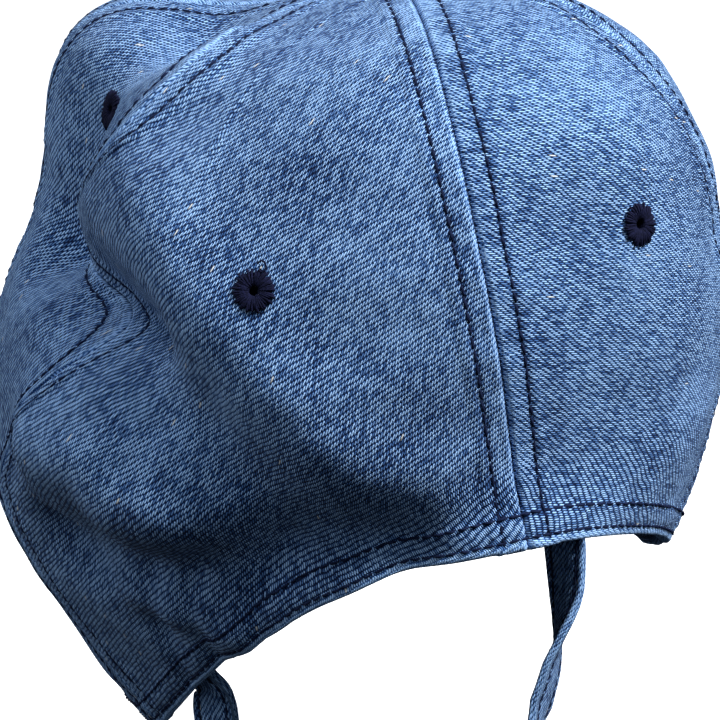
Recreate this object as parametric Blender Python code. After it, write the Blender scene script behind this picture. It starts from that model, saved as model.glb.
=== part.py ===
"""Infant's six-panel soft cap with a stitched visor and a chin strap closed by a press stud.

Metres, +Z up, +Y towards the visor, origin at the centre of the head opening.
The crown is one smooth surface given by an angle round the cap and a level from hem to top.
Every crown piece is a closed shell between two depths under that surface.
"""

import math

import bmesh
import bpy
from mathutils import Matrix, Vector

# ---- crown, driving sizes ----
BELLY_HALF_WIDTH = 0.074
BELLY_HALF_LENGTH = 0.087
BELLY_HEIGHT = 0.0490
BELLY_FORWARD = 0.0089
CROWN_HEIGHT = 0.1292
CROWN_FULLNESS = 0.852
HEM_WIDTH_SHARE = 0.69
HEM_FRONT_SHARE = 0.94
HEM_BACK_SHARE = 0.92
HEM_TUCK_POWER = 1.6
BACK_LIFT = 0.036
BACK_LIFT_TURN = math.radians(16)
BACK_LIFT_POWER = 1.2
FRONT_FADE = 1.3
SIDE_TILT = 0.0100
LEFT_DROP = 0.0075
LEFT_DROP_ANGLE = math.radians(178)
LEFT_DROP_SPREAD = math.radians(25)
TOP_LEAN_X = 0.0089
TOP_LEAN_Y = -0.0298
TOP_SHIFT_POWER = 1.07
TOP_TWIST = math.radians(-13.2)
SHOULDER_BULGE = 0.0180
SHOULDER_ANGLE = math.radians(152)
SHOULDER_SPREAD = math.radians(45)
SHOULDER_LEVEL = 0.628
SHOULDER_REACH = 0.151

# ---- panels and what is sewn to them ----
CLOTH = 0.0014
GAP = 0.0004
HEM_LEVEL = -1.0
TOP_LEVEL = 0.966
EYELET_LEVEL = 0.30
EYELET_LEVELS = {"side_left": 0.56}
EYELET_RADIUS = 0.0036
EYELET_HOLE = 0.0012
EYELET_PROUD = 0.0004
PUNCH_REACH = 0.004
SWEATBAND_THICKNESS = 0.0009
SWEATBAND_HEIGHT = 0.020
FACET_ROOM = 0.0007
TAPE_ROOM = 0.0011
TAPE_THICKNESS = 0.0007
TAPE_HALF_WIDTH = 0.0060
TAPE_START = SWEATBAND_HEIGHT + 0.0015
LEVEL_ROOM = 0.06

# ---- top button ----
BUTTON_RADIUS = 0.0070
BUTTON_DOME = 0.0036
BUTTON_LIFT = 0.0006
BUTTON_RIM = 0.0009
DOME_STEPS = 4
TACK_RADIUS = 0.0045
TACK_THICKNESS = 0.0010
TACK_STEM_RADIUS = 0.0012

# ---- visor ----
VISOR_ROOT_TURN = math.radians(57)
VISOR_REACH = 0.049
VISOR_SIDE_DRAW = 0.0192
VISOR_SIDE_POWER = 6
VISOR_OUTLINE_POWER = 2.6
VISOR_OUTLINE_ROUND = 0.62
VISOR_DROOP = 0.24
VISOR_ARCH = 2.6
BOARD_THICKNESS = 0.0018
COVER_THICKNESS = 0.0010
VISOR_ROOT_GAP = 0.0006
COVER_TRIM = 0.012
BOARD_TRIM = 0.035
VISOR_ROOT_REACH = 0.02
VISOR_COLUMNS = 18

# ---- chin strap ----
STRAP_PLANE_TURN = math.radians(17.9)
STRAP_PLANE_Y = -0.0072
SEWN_END_LEFT = math.radians(196)
SEWN_END_RIGHT = math.radians(5.6)
STRAP_WIDTH = 0.0095
STRAP_THICKNESS = 0.0020
STRAP_ROUTE = (
    (-0.0462, 0.0045), (-0.0468, -0.0085), (-0.0445, -0.0230), (-0.0380, -0.0370), (-0.0265, -0.0485),
    (-0.0115, -0.0550), (0.0045, -0.0550), (0.0190, -0.0480), (0.0300, -0.0355), (0.0390, -0.0220),
    (0.0455, -0.0080), (0.0475, 0.0075),
)
TAB_START = 0.50
STUD_PLACE = 0.60
TAB_END = 0.66
TAB_DROP = 0.0042
SEWN_END_START = 0.0045
SEWN_END_HEIGHT = 0.0120
STRAP_STEPS = 15
TAB_STEPS = 6
TAB_GAP = 0.004
LEFT_BAND_END = TAB_START - 0.007
RIGHT_BAND_START = STUD_PLACE - 0.05
DROP_START = 0.40
STUD_CAP_RADIUS = 0.0050
STUD_CAP_THICKNESS = 0.0012
SOCKET_OUTER = 0.0042
SOCKET_INNER = 0.0023
STUD_BALL_RADIUS = 0.0018
STUD_BALL_HEIGHT = 0.0016
STUD_BASE_RADIUS = 0.0040
STUD_BASE_THICKNESS = 0.0007
SOCKET_HEIGHT = 0.0009
DISC_GAP = 0.00035

SIDES = 20
EYELET_SIDES = 14
PANEL_COLUMNS = 8
SWEATBAND_COLUMNS = 44


def clear_scene():
    for old in list(bpy.data.objects):
        bpy.data.objects.remove(old, do_unlink=True)


def make_material(name, colour, roughness, metallic=0.0):
    material = bpy.data.materials.new(name)
    material.use_nodes = True
    shader = material.node_tree.nodes["Principled BSDF"]
    shader.inputs["Base Color"].default_value = (*colour, 1.0)
    shader.inputs["Roughness"].default_value = roughness
    shader.inputs["Metallic"].default_value = metallic
    return material


# ---- the crown's surface ----

def hem_height(angle):
    """Height of the hem line: lifted behind the ears and over the nape, nearly level in front."""
    back = max(0.0, -math.sin(angle + BACK_LIFT_TURN)) ** BACK_LIFT_POWER
    front_fade = min(1.0, max(0.0, 1.0 - FRONT_FADE * max(0.0, math.sin(angle))))
    away = math.remainder(angle - LEFT_DROP_ANGLE, 2 * math.pi) / LEFT_DROP_SPREAD
    return BACK_LIFT * back + SIDE_TILT * math.cos(angle) * front_fade - LEFT_DROP * math.exp(-away ** 2)


def crown_surface(angle, level):
    """Outer face of the cloth. Level -1 is the hem, 0 the widest ring, 1 the top."""
    tuck = max(0.0, -level) ** HEM_TUCK_POWER
    latitude = math.radians(90) * max(0.0, level)
    rise = math.sin(latitude)
    bearing = angle + TOP_TWIST * rise
    if level < 0:
        length_share = HEM_BACK_SHARE if math.sin(bearing) < 0 else HEM_FRONT_SHARE
        wide = 1 - (1 - HEM_WIDTH_SHARE) * tuck
        long = 1 - (1 - length_share) * tuck
        z = BELLY_HEIGHT * (1 + level) - hem_height(bearing) * level
        shift = 1 - tuck
    else:
        wide = long = max(0.0, math.cos(latitude)) ** CROWN_FULLNESS
        z = BELLY_HEIGHT + (CROWN_HEIGHT - BELLY_HEIGHT) * rise
        shift = max(0.0, math.cos(latitude)) ** TOP_SHIFT_POWER
    x = BELLY_HALF_WIDTH * wide * math.cos(bearing) + TOP_LEAN_X * rise
    y = BELLY_HALF_LENGTH * long * math.sin(bearing) + TOP_LEAN_Y * rise + BELLY_FORWARD * shift
    away = math.remainder(angle - SHOULDER_ANGLE, 2 * math.pi) / SHOULDER_SPREAD
    near = math.exp(-away ** 2 - ((level - SHOULDER_LEVEL) / SHOULDER_REACH) ** 2)
    out = Vector((math.cos(bearing) * math.cos(latitude), math.sin(bearing) * math.cos(latitude), rise))
    return Vector((x, y, z)) + out * (SHOULDER_BULGE * near)


def crown_normal(angle, level):
    step = 0.004
    across = crown_surface(angle + step, level) - crown_surface(angle - step, level)
    up = crown_surface(angle, min(level + step, 0.99)) - crown_surface(angle, level - step)
    return across.cross(up).normalized()


def crown(angle, level, depth=0.0):
    """A point under the crown's outer face."""
    return crown_surface(angle, level) - crown_normal(angle, level) * depth


def level_at(angle, height):
    """The level that lies this far above the hem, measured straight up."""
    hem = hem_height(angle)
    z = hem + height
    if z < BELLY_HEIGHT:
        return (z - BELLY_HEIGHT) / (BELLY_HEIGHT - hem)
    return math.asin((z - BELLY_HEIGHT) / (CROWN_HEIGHT - BELLY_HEIGHT)) / math.radians(90)


def angle_for(distance, angle, level):
    """How far to turn round the cap, at this level, to travel a short distance."""
    step = 0.01
    run = (crown_surface(angle + step, level) - crown_surface(angle - step, level)).length / (2 * step)
    return distance / run


# ---- mesh helpers ----

def finish_object(name, bm, material, smooth_angle=40):
    bmesh.ops.recalc_face_normals(bm, faces=bm.faces)
    mesh = bpy.data.meshes.new(name)
    bm.to_mesh(mesh)
    bm.free()
    mesh.shade_smooth()
    mesh.set_sharp_from_angle(angle=math.radians(smooth_angle))
    mesh.materials.append(material)
    result = bpy.data.objects.new(name, mesh)
    bpy.context.collection.objects.link(result)
    return result


def shell(name, outer, inner, material, ring=False):
    """A closed solid between two grids of points, each a list of columns; a ring joins its ends."""
    bm = bmesh.new()
    grids = [[[bm.verts.new(p) for p in column] for column in grid] for grid in (outer, inner)]
    columns, rows = len(outer), len(outer[0])
    last = columns if ring else columns - 1
    for grid in grids:
        for i in range(last):
            a, b = grid[i], grid[(i + 1) % columns]
            for j in range(rows - 1):
                bm.faces.new((a[j], b[j], b[j + 1], a[j + 1]))
    top, under = grids
    for j in (0, rows - 1):
        for i in range(last):
            k = (i + 1) % columns
            bm.faces.new((top[i][j], top[k][j], under[k][j], under[i][j]))
    if not ring:
        for i in (0, columns - 1):
            for j in range(rows - 1):
                bm.faces.new((top[i][j], top[i][j + 1], under[i][j + 1], under[i][j]))
    return finish_object(name, bm, material)


def turned(name, profile, place, material, sides=SIDES):
    """A turned solid: the profile is (radius, height) from axis to axis, or a closed ring's section."""
    bm = bmesh.new()
    closed = profile[0][0] > 0
    rings = []
    for radius, height in profile:
        if radius == 0:
            rings.append([bm.verts.new((0, 0, height))])
        else:
            turn = 2 * math.pi / sides
            rings.append([bm.verts.new((radius * math.cos(i * turn), radius * math.sin(i * turn), height))
                          for i in range(sides)])
    pairs = list(zip(rings, rings[1:]))
    if closed:
        pairs.append((rings[-1], rings[0]))
    for low, high in pairs:
        for i in range(sides):
            k = (i + 1) % sides
            if len(low) == 1:
                bm.faces.new((low[0], high[k], high[i]))
            elif len(high) == 1:
                bm.faces.new((low[i], low[k], high[0]))
            else:
                bm.faces.new((low[i], low[k], high[k], high[i]))
    bm.transform(place)
    return finish_object(name, bm, material)


def facing(point, normal):
    """A place with its own +Z along the normal."""
    return Matrix.Translation(point) @ normal.to_track_quat("Z", "Y").to_matrix().to_4x4()


# ---- crown pieces ----

# Each seam's bearing in degrees at the hem and at the top, and the levels between which it turns.
SEAMS = {
    "centre_back": (-90, -90, 0.0, 1.0),
    "back_right": (-37, -37, 0.0, 1.0),
    "front_right": (28, 28, 0.0, 1.0),
    "centre_front": (90, 90, 0.0, 1.0),
    "front_left": (138, 166, -0.8, 0.6),
    "back_left": (184, 208, -0.05, 0.25),
}
PANELS = {
    "back_right": ("centre_back", "back_right"),
    "side_right": ("back_right", "front_right"),
    "front_right": ("front_right", "centre_front"),
    "front_left": ("centre_front", "front_left"),
    "side_left": ("front_left", "back_left"),
    "back_left": ("back_left", "centre_back"),
}
LEVELS = [HEM_LEVEL, -0.8, -0.55, -0.28, 0.0, 0.15, 0.30, 0.45, 0.60, 0.74, 0.86, TOP_LEVEL]


def seam_angle(seam, level):
    """A seam's bearing at this level; the slouch turns the seams of the left side."""
    low, high, start, end = SEAMS[seam]
    share = min(1.0, max(0.0, (level - start) / (end - start)))
    return math.radians(low + (high - low) * share * share * (3 - 2 * share))


def panel_sides(side, level):
    """Where a panel starts and ends at this level."""
    first, last = PANELS[side]
    start, end = seam_angle(first, level), seam_angle(last, level)
    return start, end if end > start else end + 2 * math.pi


def panel_columns(side, depth):
    columns = []
    for i in range(PANEL_COLUMNS + 1):
        share = i / PANEL_COLUMNS
        column = []
        for level in LEVELS:
            start, end = panel_sides(side, level)
            first = start + angle_for(GAP / 2, start, level)
            final = end - angle_for(GAP / 2, end, level)
            column.append(crown(first + (final - first) * share, level, depth))
        columns.append(column)
    return columns


def build_panel(side, denim, thread):
    """One gore with its vent hole, and the worked eyelet that fills the hole's edge."""
    panel = shell("panel_" + side, panel_columns(side, 0.0), panel_columns(side, CLOTH), denim)
    height = EYELET_LEVELS.get(side, EYELET_LEVEL)
    middle = sum(panel_sides(side, height)) / 2
    normal = crown_normal(middle, height)
    place = facing(crown(middle, height, CLOTH / 2), normal)
    hole = EYELET_RADIUS + GAP
    punch = [(0, -PUNCH_REACH), (hole, -PUNCH_REACH), (hole, PUNCH_REACH), (0, PUNCH_REACH)]
    cutter = turned("punch_" + side, punch, place, thread, sides=EYELET_SIDES)
    cutter.hide_render = True
    cutter.display_type = "WIRE"
    cut = panel.modifiers.new("vent", "BOOLEAN")
    cut.operation = "DIFFERENCE"
    cut.solver = "EXACT"
    cut.object = cutter
    half = CLOTH / 2 + EYELET_PROUD
    edge = half * 0.45
    section = [
        (EYELET_HOLE, -edge), (EYELET_HOLE * 1.7, -half), (EYELET_RADIUS, -edge),
        (EYELET_RADIUS, edge), (EYELET_HOLE * 1.7, half), (EYELET_HOLE, edge),
    ]
    turned("eyelet_" + side, section, place, thread, sides=EYELET_SIDES)


def build_seam_tape(side, tape):
    """Twill tape that covers the raw edges of one seam inside the crown."""
    depth = CLOTH + TAPE_ROOM
    start = level_at(seam_angle(side, HEM_LEVEL), TAPE_START)
    levels = [start] + [level for level in LEVELS if start + LEVEL_ROOM < level < TOP_LEVEL]
    grids = []
    for layer in (depth, depth + TAPE_THICKNESS):
        columns = []
        for share in (-1.0, 0.0, 1.0):
            column = []
            for level in levels:
                seam = seam_angle(side, level)
                narrow = min(1.0, 1.25 * (1 - max(0.0, level)) + 0.05)
                across = angle_for(TAPE_HALF_WIDTH * narrow * share, seam, level)
                column.append(crown(seam + across, level, layer))
            columns.append(column)
        grids.append(columns)
    shell("seam_tape_" + side, grids[0], grids[1], tape)


def build_sweatband(cloth):
    depth = CLOTH + FACET_ROOM
    grids = []
    for layer in (depth, depth + SWEATBAND_THICKNESS):
        columns = []
        for i in range(SWEATBAND_COLUMNS):
            angle = 2 * math.pi * i / SWEATBAND_COLUMNS
            heights = (GAP, SWEATBAND_HEIGHT * 0.35, SWEATBAND_HEIGHT * 0.7, SWEATBAND_HEIGHT)
            columns.append([crown(angle, level_at(angle, height), layer) for height in heights])
        grids.append(columns)
    shell("sweatband", grids[0], grids[1], cloth, ring=True)


def build_button(denim, metal):
    """Cloth-covered shell on top of the crown, and the tack under it."""
    apex = Vector((TOP_LEAN_X, TOP_LEAN_Y, CROWN_HEIGHT))
    rim = BUTTON_LIFT + BUTTON_RIM
    dome = [(0, BUTTON_LIFT), (BUTTON_RADIUS * 0.97, BUTTON_LIFT), (BUTTON_RADIUS, rim)]
    for i in range(1, DOME_STEPS):
        turn = math.radians(90) * i / DOME_STEPS
        dome.append((BUTTON_RADIUS * math.cos(turn), rim + (BUTTON_DOME - BUTTON_RIM) * math.sin(turn)))
    dome.append((0, BUTTON_LIFT + BUTTON_DOME))
    turned("top_button_shell", dome, Matrix.Translation(apex), denim)
    under = -(CLOTH + 2 * TAPE_THICKNESS)
    stem_top = BUTTON_LIFT - DISC_GAP
    stem = [
        (0, under - TACK_THICKNESS), (TACK_RADIUS, under - TACK_THICKNESS), (TACK_RADIUS, under),
        (TACK_STEM_RADIUS, under + 0.0003), (TACK_STEM_RADIUS, stem_top), (0, stem_top),
    ]
    turned("top_button_tack", stem, Matrix.Translation(apex), metal)


# ---- visor ----

def visor_root(share):
    """Point just outside the front hem; share runs from the right end, 0, to the left end, 1."""
    angle = math.radians(90) - VISOR_ROOT_TURN + 2 * VISOR_ROOT_TURN * share
    point = crown_surface(angle, HEM_LEVEL)
    out = Vector((math.cos(angle) / HEM_WIDTH_SHARE, math.sin(angle), 0)).normalized()
    return point + out * VISOR_ROOT_GAP, angle


def visor_point(share, reach, drop):
    """A point on the visor's sheet: reach 0 is the sewn edge and 1 the outer edge."""
    root, angle = visor_root(share)
    across = 2 * share - 1
    depth = VISOR_REACH * max(0.0, 1 - abs(across) ** VISOR_OUTLINE_POWER) ** VISOR_OUTLINE_ROUND
    side = -VISOR_SIDE_DRAW * across * (1 - abs(across) ** VISOR_SIDE_POWER)
    x = root.x + side * reach
    y = root.y + depth * reach
    forward = y - root.y
    arch = VISOR_ARCH * (x * x - root.x * root.x)
    z = root.z - VISOR_DROOP * forward - arch - drop
    return Vector((x, y, z))


def visor_layer(name, top, thickness, trim, material):
    """One layer of the visor: top is how far its upper face lies under the sheet."""
    grids = []
    for drop in (top, top + thickness):
        columns = []
        for i in range(VISOR_COLUMNS + 1):
            share = trim + (1 - 2 * trim) * i / VISOR_COLUMNS
            reaches = (VISOR_ROOT_REACH + trim, 0.25, 0.5, 0.75, 1.0 - trim)
            columns.append([visor_point(share, reach, drop) for reach in reaches])
        grids.append(columns)
    shell(name, grids[0], grids[1], material)


def build_visor(denim, lining, board):
    cover_step = COVER_THICKNESS + GAP
    visor_layer("visor_top_cover", 0.0, COVER_THICKNESS, COVER_TRIM, denim)
    visor_layer("visor_board", cover_step, BOARD_THICKNESS, BOARD_TRIM, board)
    under = cover_step + BOARD_THICKNESS + GAP
    visor_layer("visor_under_cover", under, COVER_THICKNESS, COVER_TRIM, lining)


# ---- chin strap ----

# The strap hangs in the upright plane through its two sewn ends.
STRAP_PLANE = Matrix.Rotation(STRAP_PLANE_TURN, 3, "Z")


def route_point(share):
    """A point on the strap's centre line in the strap's own plane, by a smooth curve."""
    spans = len(STRAP_ROUTE) - 1
    place = min(share * spans, spans - 1e-6)
    i = int(place)
    t = place - i
    p = [STRAP_ROUTE[min(max(k, 0), spans)] for k in (i - 1, i, i + 1, i + 2)]
    mixed = []
    for axis in (0, 1):
        a, b, c, d = (q[axis] for q in p)
        mixed.append(0.5 * (2 * b + (c - a) * t + (2 * a - 5 * b + 4 * c - d) * t * t
                            + (3 * b - a - 3 * c + d) * t ** 3))
    return Vector((mixed[0], 0, mixed[1]))


def route_frame(share, drop=0.0):
    """Centre, run and outward direction of the strap; drop moves it out, away from the chin."""
    step = 0.004
    here = route_point(share)
    run = (route_point(min(share + step, 1)) - route_point(max(share - step, 0))).normalized()
    out = Vector((run.z, 0, -run.x))
    centre = STRAP_PLANE @ (here + out * drop) + Vector((0, STRAP_PLANE_Y, 0))
    return centre, STRAP_PLANE @ run, STRAP_PLANE @ out


def strap_piece(name, shares, drop_at, material, round_start=False, round_end=False):
    """A flat band along the route; a round end lets it swing beside the end that is sewn."""
    stations = []
    half = STRAP_WIDTH / 2
    for share in shares:
        centre, run, out = route_frame(share, drop_at(share))
        stations.append((centre, run, out, half))
    if round_start:
        stations = rounded(stations[0], -1) + stations[1:]
    if round_end:
        stations = stations[:-1] + rounded(stations[-1], 1)
    outer, inner = [], []
    for centre, run, out, width in stations:
        edge = STRAP_PLANE @ Vector((0, width, 0))
        outer.append([centre + out * STRAP_THICKNESS / 2 + edge * k for k in (-1, 0, 1)])
        inner.append([centre - out * STRAP_THICKNESS / 2 + edge * k for k in (-1, 0, 1)])
    shell(name, outer, inner, material)


def rounded(station, direction):
    """Stations that round off a band's end about the end station's centre."""
    centre, run, out, half = station
    turns = [math.radians(a) for a in (0, 22, 44, 64, 80)]
    made = [(centre + run * direction * half * math.sin(a), run, out, half * math.cos(a)) for a in turns]
    return made if direction > 0 else made[::-1]


def build_strap(denim, metal):
    left = spread(0.0, LEFT_BAND_END, STRAP_STEPS)
    strap_piece("chin_strap_left", left, tab_drop, denim, round_start=True)
    tab = spread(TAB_START + TAB_GAP, TAB_END + TAB_GAP, TAB_STEPS)
    strap_piece("chin_strap_tab", tab, tab_drop, denim, round_end=True)
    right = spread(RIGHT_BAND_START, 1.0, STRAP_STEPS)
    strap_piece("chin_strap_right", right, no_drop, denim, round_start=True, round_end=True)
    build_press_stud(metal)
    for side in ("left", "right"):
        build_sewn_end(side, denim)


def build_press_stud(metal):
    """Post and ball clenched on the right band, socket and cap on the tab below it."""
    centre, run, out = route_frame(STUD_PLACE)
    face = STRAP_THICKNESS / 2 + DISC_GAP
    post = [
        (0, face), (STUD_BASE_RADIUS, face),
        (STUD_BASE_RADIUS, face + STUD_BASE_THICKNESS), (0, face + STUD_BASE_THICKNESS + 0.0002),
    ]
    turned("press_stud_post", post, facing(centre, -out), metal)
    foot = STUD_BASE_RADIUS * 0.85
    ball = [
        (0, face), (foot, face), (foot, face + 0.0004), (STUD_BALL_RADIUS, face + 0.0006),
        (STUD_BALL_RADIUS, face + 0.0013), (STUD_BALL_RADIUS * 0.6, face + STUD_BALL_HEIGHT),
        (0, face + STUD_BALL_HEIGHT),
    ]
    turned("press_stud_ball", ball, facing(centre, out), metal)
    centre, run, out = route_frame(STUD_PLACE, TAB_DROP)
    socket = [
        (SOCKET_INNER, face), (SOCKET_OUTER, face),
        (SOCKET_OUTER, face + SOCKET_HEIGHT), (SOCKET_INNER, face + SOCKET_HEIGHT),
    ]
    turned("press_stud_socket", socket, facing(centre, -out), metal)
    top = face + STUD_CAP_THICKNESS
    cap = [
        (0, face), (STUD_CAP_RADIUS, face), (STUD_CAP_RADIUS, face + STUD_CAP_THICKNESS / 2),
        (STUD_CAP_RADIUS * 0.72, top), (0, top),
    ]
    turned("press_stud_cap", cap, facing(centre, out), metal)


def spread(first, last, steps):
    """Evenly spaced shares of the route."""
    return [first + (last - first) * i / steps for i in range(steps + 1)]


def no_drop(share):
    """The right band stays on the route itself."""
    return 0.0


def tab_drop(share):
    """The left band passes under the right band's end, stepping out before the press stud."""
    ease = min(1.0, max(0.0, (share - DROP_START) / (TAB_START - DROP_START)))
    return TAB_DROP * ease * ease * (3 - 2 * ease)


def build_sewn_end(side, denim):
    """The end of the band that is stitched inside the hem; it follows the crown's inner wall."""
    angle = SEWN_END_RIGHT if side == "right" else SEWN_END_LEFT
    depth = CLOTH + FACET_ROOM + SWEATBAND_THICKNESS + GAP
    grids = []
    for layer in (depth, depth + STRAP_THICKNESS):
        columns = []
        for k in (-1.0, -0.5, 0.0, 0.5, 1.0):
            column = []
            for share in (0.0, 0.5, 1.0):
                level = level_at(angle, SEWN_END_START + SEWN_END_HEIGHT * share)
                across = angle_for(STRAP_WIDTH / 2 * k, angle, level)
                column.append(crown(angle + across, level, layer))
            columns.append(column)
        grids.append(columns)
    shell("chin_strap_sewn_end_" + side, grids[0], grids[1], denim)


def main():
    clear_scene()
    denim = make_material("denim", (0.10, 0.17, 0.32), 0.9)
    lining = make_material("denim_under", (0.12, 0.19, 0.33), 0.9)
    thread = make_material("navy_thread", (0.008, 0.012, 0.035), 0.7)
    tape = make_material("cotton_tape", (0.03, 0.05, 0.10), 0.9)
    band = make_material("sweatband_twill", (0.55, 0.53, 0.48), 0.9)
    board = make_material("visor_board", (0.8, 0.8, 0.78), 0.5)
    metal = make_material("stud_metal", (0.55, 0.55, 0.57), 0.35, 1.0)
    for side in PANELS:
        build_panel(side, denim, thread)
    for side in SEAMS:
        build_seam_tape(side, tape)
    build_sweatband(band)
    build_button(denim, metal)
    build_visor(denim, lining, board)
    build_strap(denim, metal)


main()
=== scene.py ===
"""The looks of a baby's washed-denim cap: gores, topstitching, worked eyelets, visor and chin strap.

The crown's surface is the CAD model's own, given by an angle round the cap and a level from hem to top.
Folds, seam relief and puckers are heights over that surface, so every sewn piece follows the same cloth.
"""
import math

import bpy
import numpy as np
from mathutils import Matrix, Vector


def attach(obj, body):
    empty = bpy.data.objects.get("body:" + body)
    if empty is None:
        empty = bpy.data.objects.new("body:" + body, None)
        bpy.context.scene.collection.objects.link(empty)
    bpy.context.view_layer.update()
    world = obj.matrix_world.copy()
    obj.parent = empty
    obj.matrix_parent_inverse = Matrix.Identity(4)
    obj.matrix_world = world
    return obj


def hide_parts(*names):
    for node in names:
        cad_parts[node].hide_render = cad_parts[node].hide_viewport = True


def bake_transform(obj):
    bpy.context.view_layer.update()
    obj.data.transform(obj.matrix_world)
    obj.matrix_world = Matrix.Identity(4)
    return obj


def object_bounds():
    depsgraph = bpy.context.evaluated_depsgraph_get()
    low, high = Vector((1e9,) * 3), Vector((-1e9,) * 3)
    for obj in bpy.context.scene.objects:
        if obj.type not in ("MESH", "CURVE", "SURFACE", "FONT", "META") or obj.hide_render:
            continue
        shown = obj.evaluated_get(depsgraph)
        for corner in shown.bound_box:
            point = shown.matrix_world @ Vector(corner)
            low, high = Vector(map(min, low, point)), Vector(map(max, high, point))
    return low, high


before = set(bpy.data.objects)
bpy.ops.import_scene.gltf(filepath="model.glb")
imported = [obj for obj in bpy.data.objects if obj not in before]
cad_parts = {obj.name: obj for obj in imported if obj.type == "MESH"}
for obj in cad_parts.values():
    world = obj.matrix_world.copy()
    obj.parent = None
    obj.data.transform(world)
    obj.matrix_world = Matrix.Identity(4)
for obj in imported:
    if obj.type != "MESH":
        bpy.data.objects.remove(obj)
cad_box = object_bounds()
TAU = 2 * math.pi

# ---- the crown's driving sizes, as in the CAD model (metres) ----
BELLY_HALF_WIDTH = 0.074
BELLY_HALF_LENGTH = 0.087
BELLY_HEIGHT = 0.0490
BELLY_FORWARD = 0.0089
CROWN_HEIGHT = 0.1292
CROWN_FULLNESS = 0.852
HEM_WIDTH_SHARE = 0.69
HEM_FRONT_SHARE = 0.94
HEM_BACK_SHARE = 0.92
HEM_TUCK_POWER = 1.6
BACK_LIFT = 0.036
BACK_LIFT_TURN = math.radians(16)
BACK_LIFT_POWER = 1.2
FRONT_FADE = 1.3
SIDE_TILT = 0.0100
LEFT_DROP = 0.0075
LEFT_DROP_ANGLE = math.radians(178)
LEFT_DROP_SPREAD = math.radians(25)
TOP_LEAN_X = 0.0089
TOP_LEAN_Y = -0.0298
TOP_SHIFT_POWER = 1.07
LEAN_EASE = 0.16
TOP_TWIST = math.radians(-13.2)
SHOULDER_BULGE = 0.0180
SHOULDER_ANGLE = math.radians(152)
SHOULDER_SPREAD = math.radians(45)
SHOULDER_LEVEL = 0.628
SHOULDER_REACH = 0.151
EYELET_LEVEL = 0.30
EYELET_LEVELS = {"side_left": 0.56}
EYELET_ASIDE = {"back_left": math.radians(2.5)}

# ---- cloth and sewing ----
CLOTH = 0.0014
ROW_STEP = 0.0008
MIDDLE_COLUMNS = 64
TOP_LEVEL = 0.985
STITCH_TOP = 0.955
EDGE_ROOM = 0.0085
SEAM_INSET = 0.00003
ALLOWANCE = 0.0060
ALLOWANCE_LIFT = 0.00035
SEAM_GROOVE = 0.00075
ROW_OFFSET = 0.0042
ROW_DIP = 0.00034
STITCH = 0.0023
THREAD = 0.00055
HEM_DEPTH = 0.0071
HEM_ROWS = (0.0021, 0.0063)
HEM_LIFT = 0.0005
HEM_EDGE = 0.00125
HEM_ZONE = 0.0140
HEM_RADIUS = 0.07
EYELET_RADIUS = 0.0035
EYELET_HOLE = 0.0008
CLOTH_HOLE = 0.0019
STRANDS = 60
# Each seam's bearing in degrees at the hem and at the top, and the levels between which it turns.
SEAMS = {
    "centre_back": (-90, -90, 0.0, 1.0),
    "back_right": (-37, -37, 0.0, 1.0),
    "front_right": (28, 28, 0.0, 1.0),
    "centre_front": (90, 90, 0.0, 1.0),
    "front_left": (138, 166, -0.8, 0.6),
    "back_left": (184, 208, -0.05, 0.25),
}
PANELS = {
    "back_right": ("centre_back", "back_right"),
    "side_right": ("back_right", "front_right"),
    "front_right": ("front_right", "centre_front"),
    "front_left": ("centre_front", "front_left"),
    "side_left": ("front_left", "back_left"),
    "back_left": ("back_left", "centre_back"),
}
# How far each gore's warp leans clockwise from straight up the gore, in degrees.
WARP_LEAN = {
    "back_left": 27, "back_right": 104, "side_left": 8, "side_right": 70,
    "front_left": 14, "front_right": -12,
}


# ---- small helpers ----

def smooth(x):
    x = np.clip(x, 0.0, 1.0)
    return x * x * (3 - 2 * x)


def hump(x, width):
    """1 at x = 0, falling off to nothing a little past the width."""
    return np.exp(-(x / width) ** 2)


def random_line(x, pitch, seed):
    """A smooth random curve from -1 to 1 that changes direction about every pitch."""
    values = np.random.default_rng(seed).uniform(-1, 1, 4096)
    place = np.asarray(x, float) / pitch + 1024
    i = np.floor(place).astype(int)
    here, there = values[i % 4096], values[(i + 1) % 4096]
    return here + (there - here) * smooth(place - i)


def cell_value(table, i, j, tx, ty):
    """A table's value part of the way from one cell to the next in both directions."""
    low = table[i, j] * (1 - tx) + table[i + 1, j] * tx
    high = table[i, j + 1] * (1 - tx) + table[i + 1, j + 1] * tx
    return low * (1 - ty) + high * ty


def random_sheet(x, y, pitch, seed):
    """A smooth random surface from -1 to 1 with lumps about one pitch wide."""
    values = np.random.default_rng(seed).uniform(-1, 1, (128, 128))
    px, py = x / pitch + 512, y / pitch + 512
    i, j = np.floor(px).astype(int), np.floor(py).astype(int)
    return cell_value(values, i % 127, j % 127, smooth(px - i), smooth(py - j))


def unit(v):
    return v / np.maximum(np.linalg.norm(v, axis=-1, keepdims=True), 1e-12)


def run_along(path):
    """Length from the path's start to each of its points."""
    return np.concatenate([[0], np.cumsum(np.linalg.norm(np.diff(path, axis=0), axis=1))])


def spread(place, run, path):
    """The path's points at these lengths along it."""
    return np.stack([np.interp(place, run, path[:, k]) for k in range(3)], -1)


# ---- the crown's surface ----

def turn_between(angle, other):
    """The signed turn from one bearing to another, within half a circle."""
    return np.remainder(angle - other + math.pi, TAU) - math.pi


def hem_height(angle):
    back = np.maximum(0.0, -np.sin(angle + BACK_LIFT_TURN)) ** BACK_LIFT_POWER
    front_fade = np.clip(1.0 - FRONT_FADE * np.maximum(0.0, np.sin(angle)), 0.0, 1.0)
    away = turn_between(angle, LEFT_DROP_ANGLE) / LEFT_DROP_SPREAD
    return BACK_LIFT * back + SIDE_TILT * np.cos(angle) * front_fade - LEFT_DROP * np.exp(-away ** 2)


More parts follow.
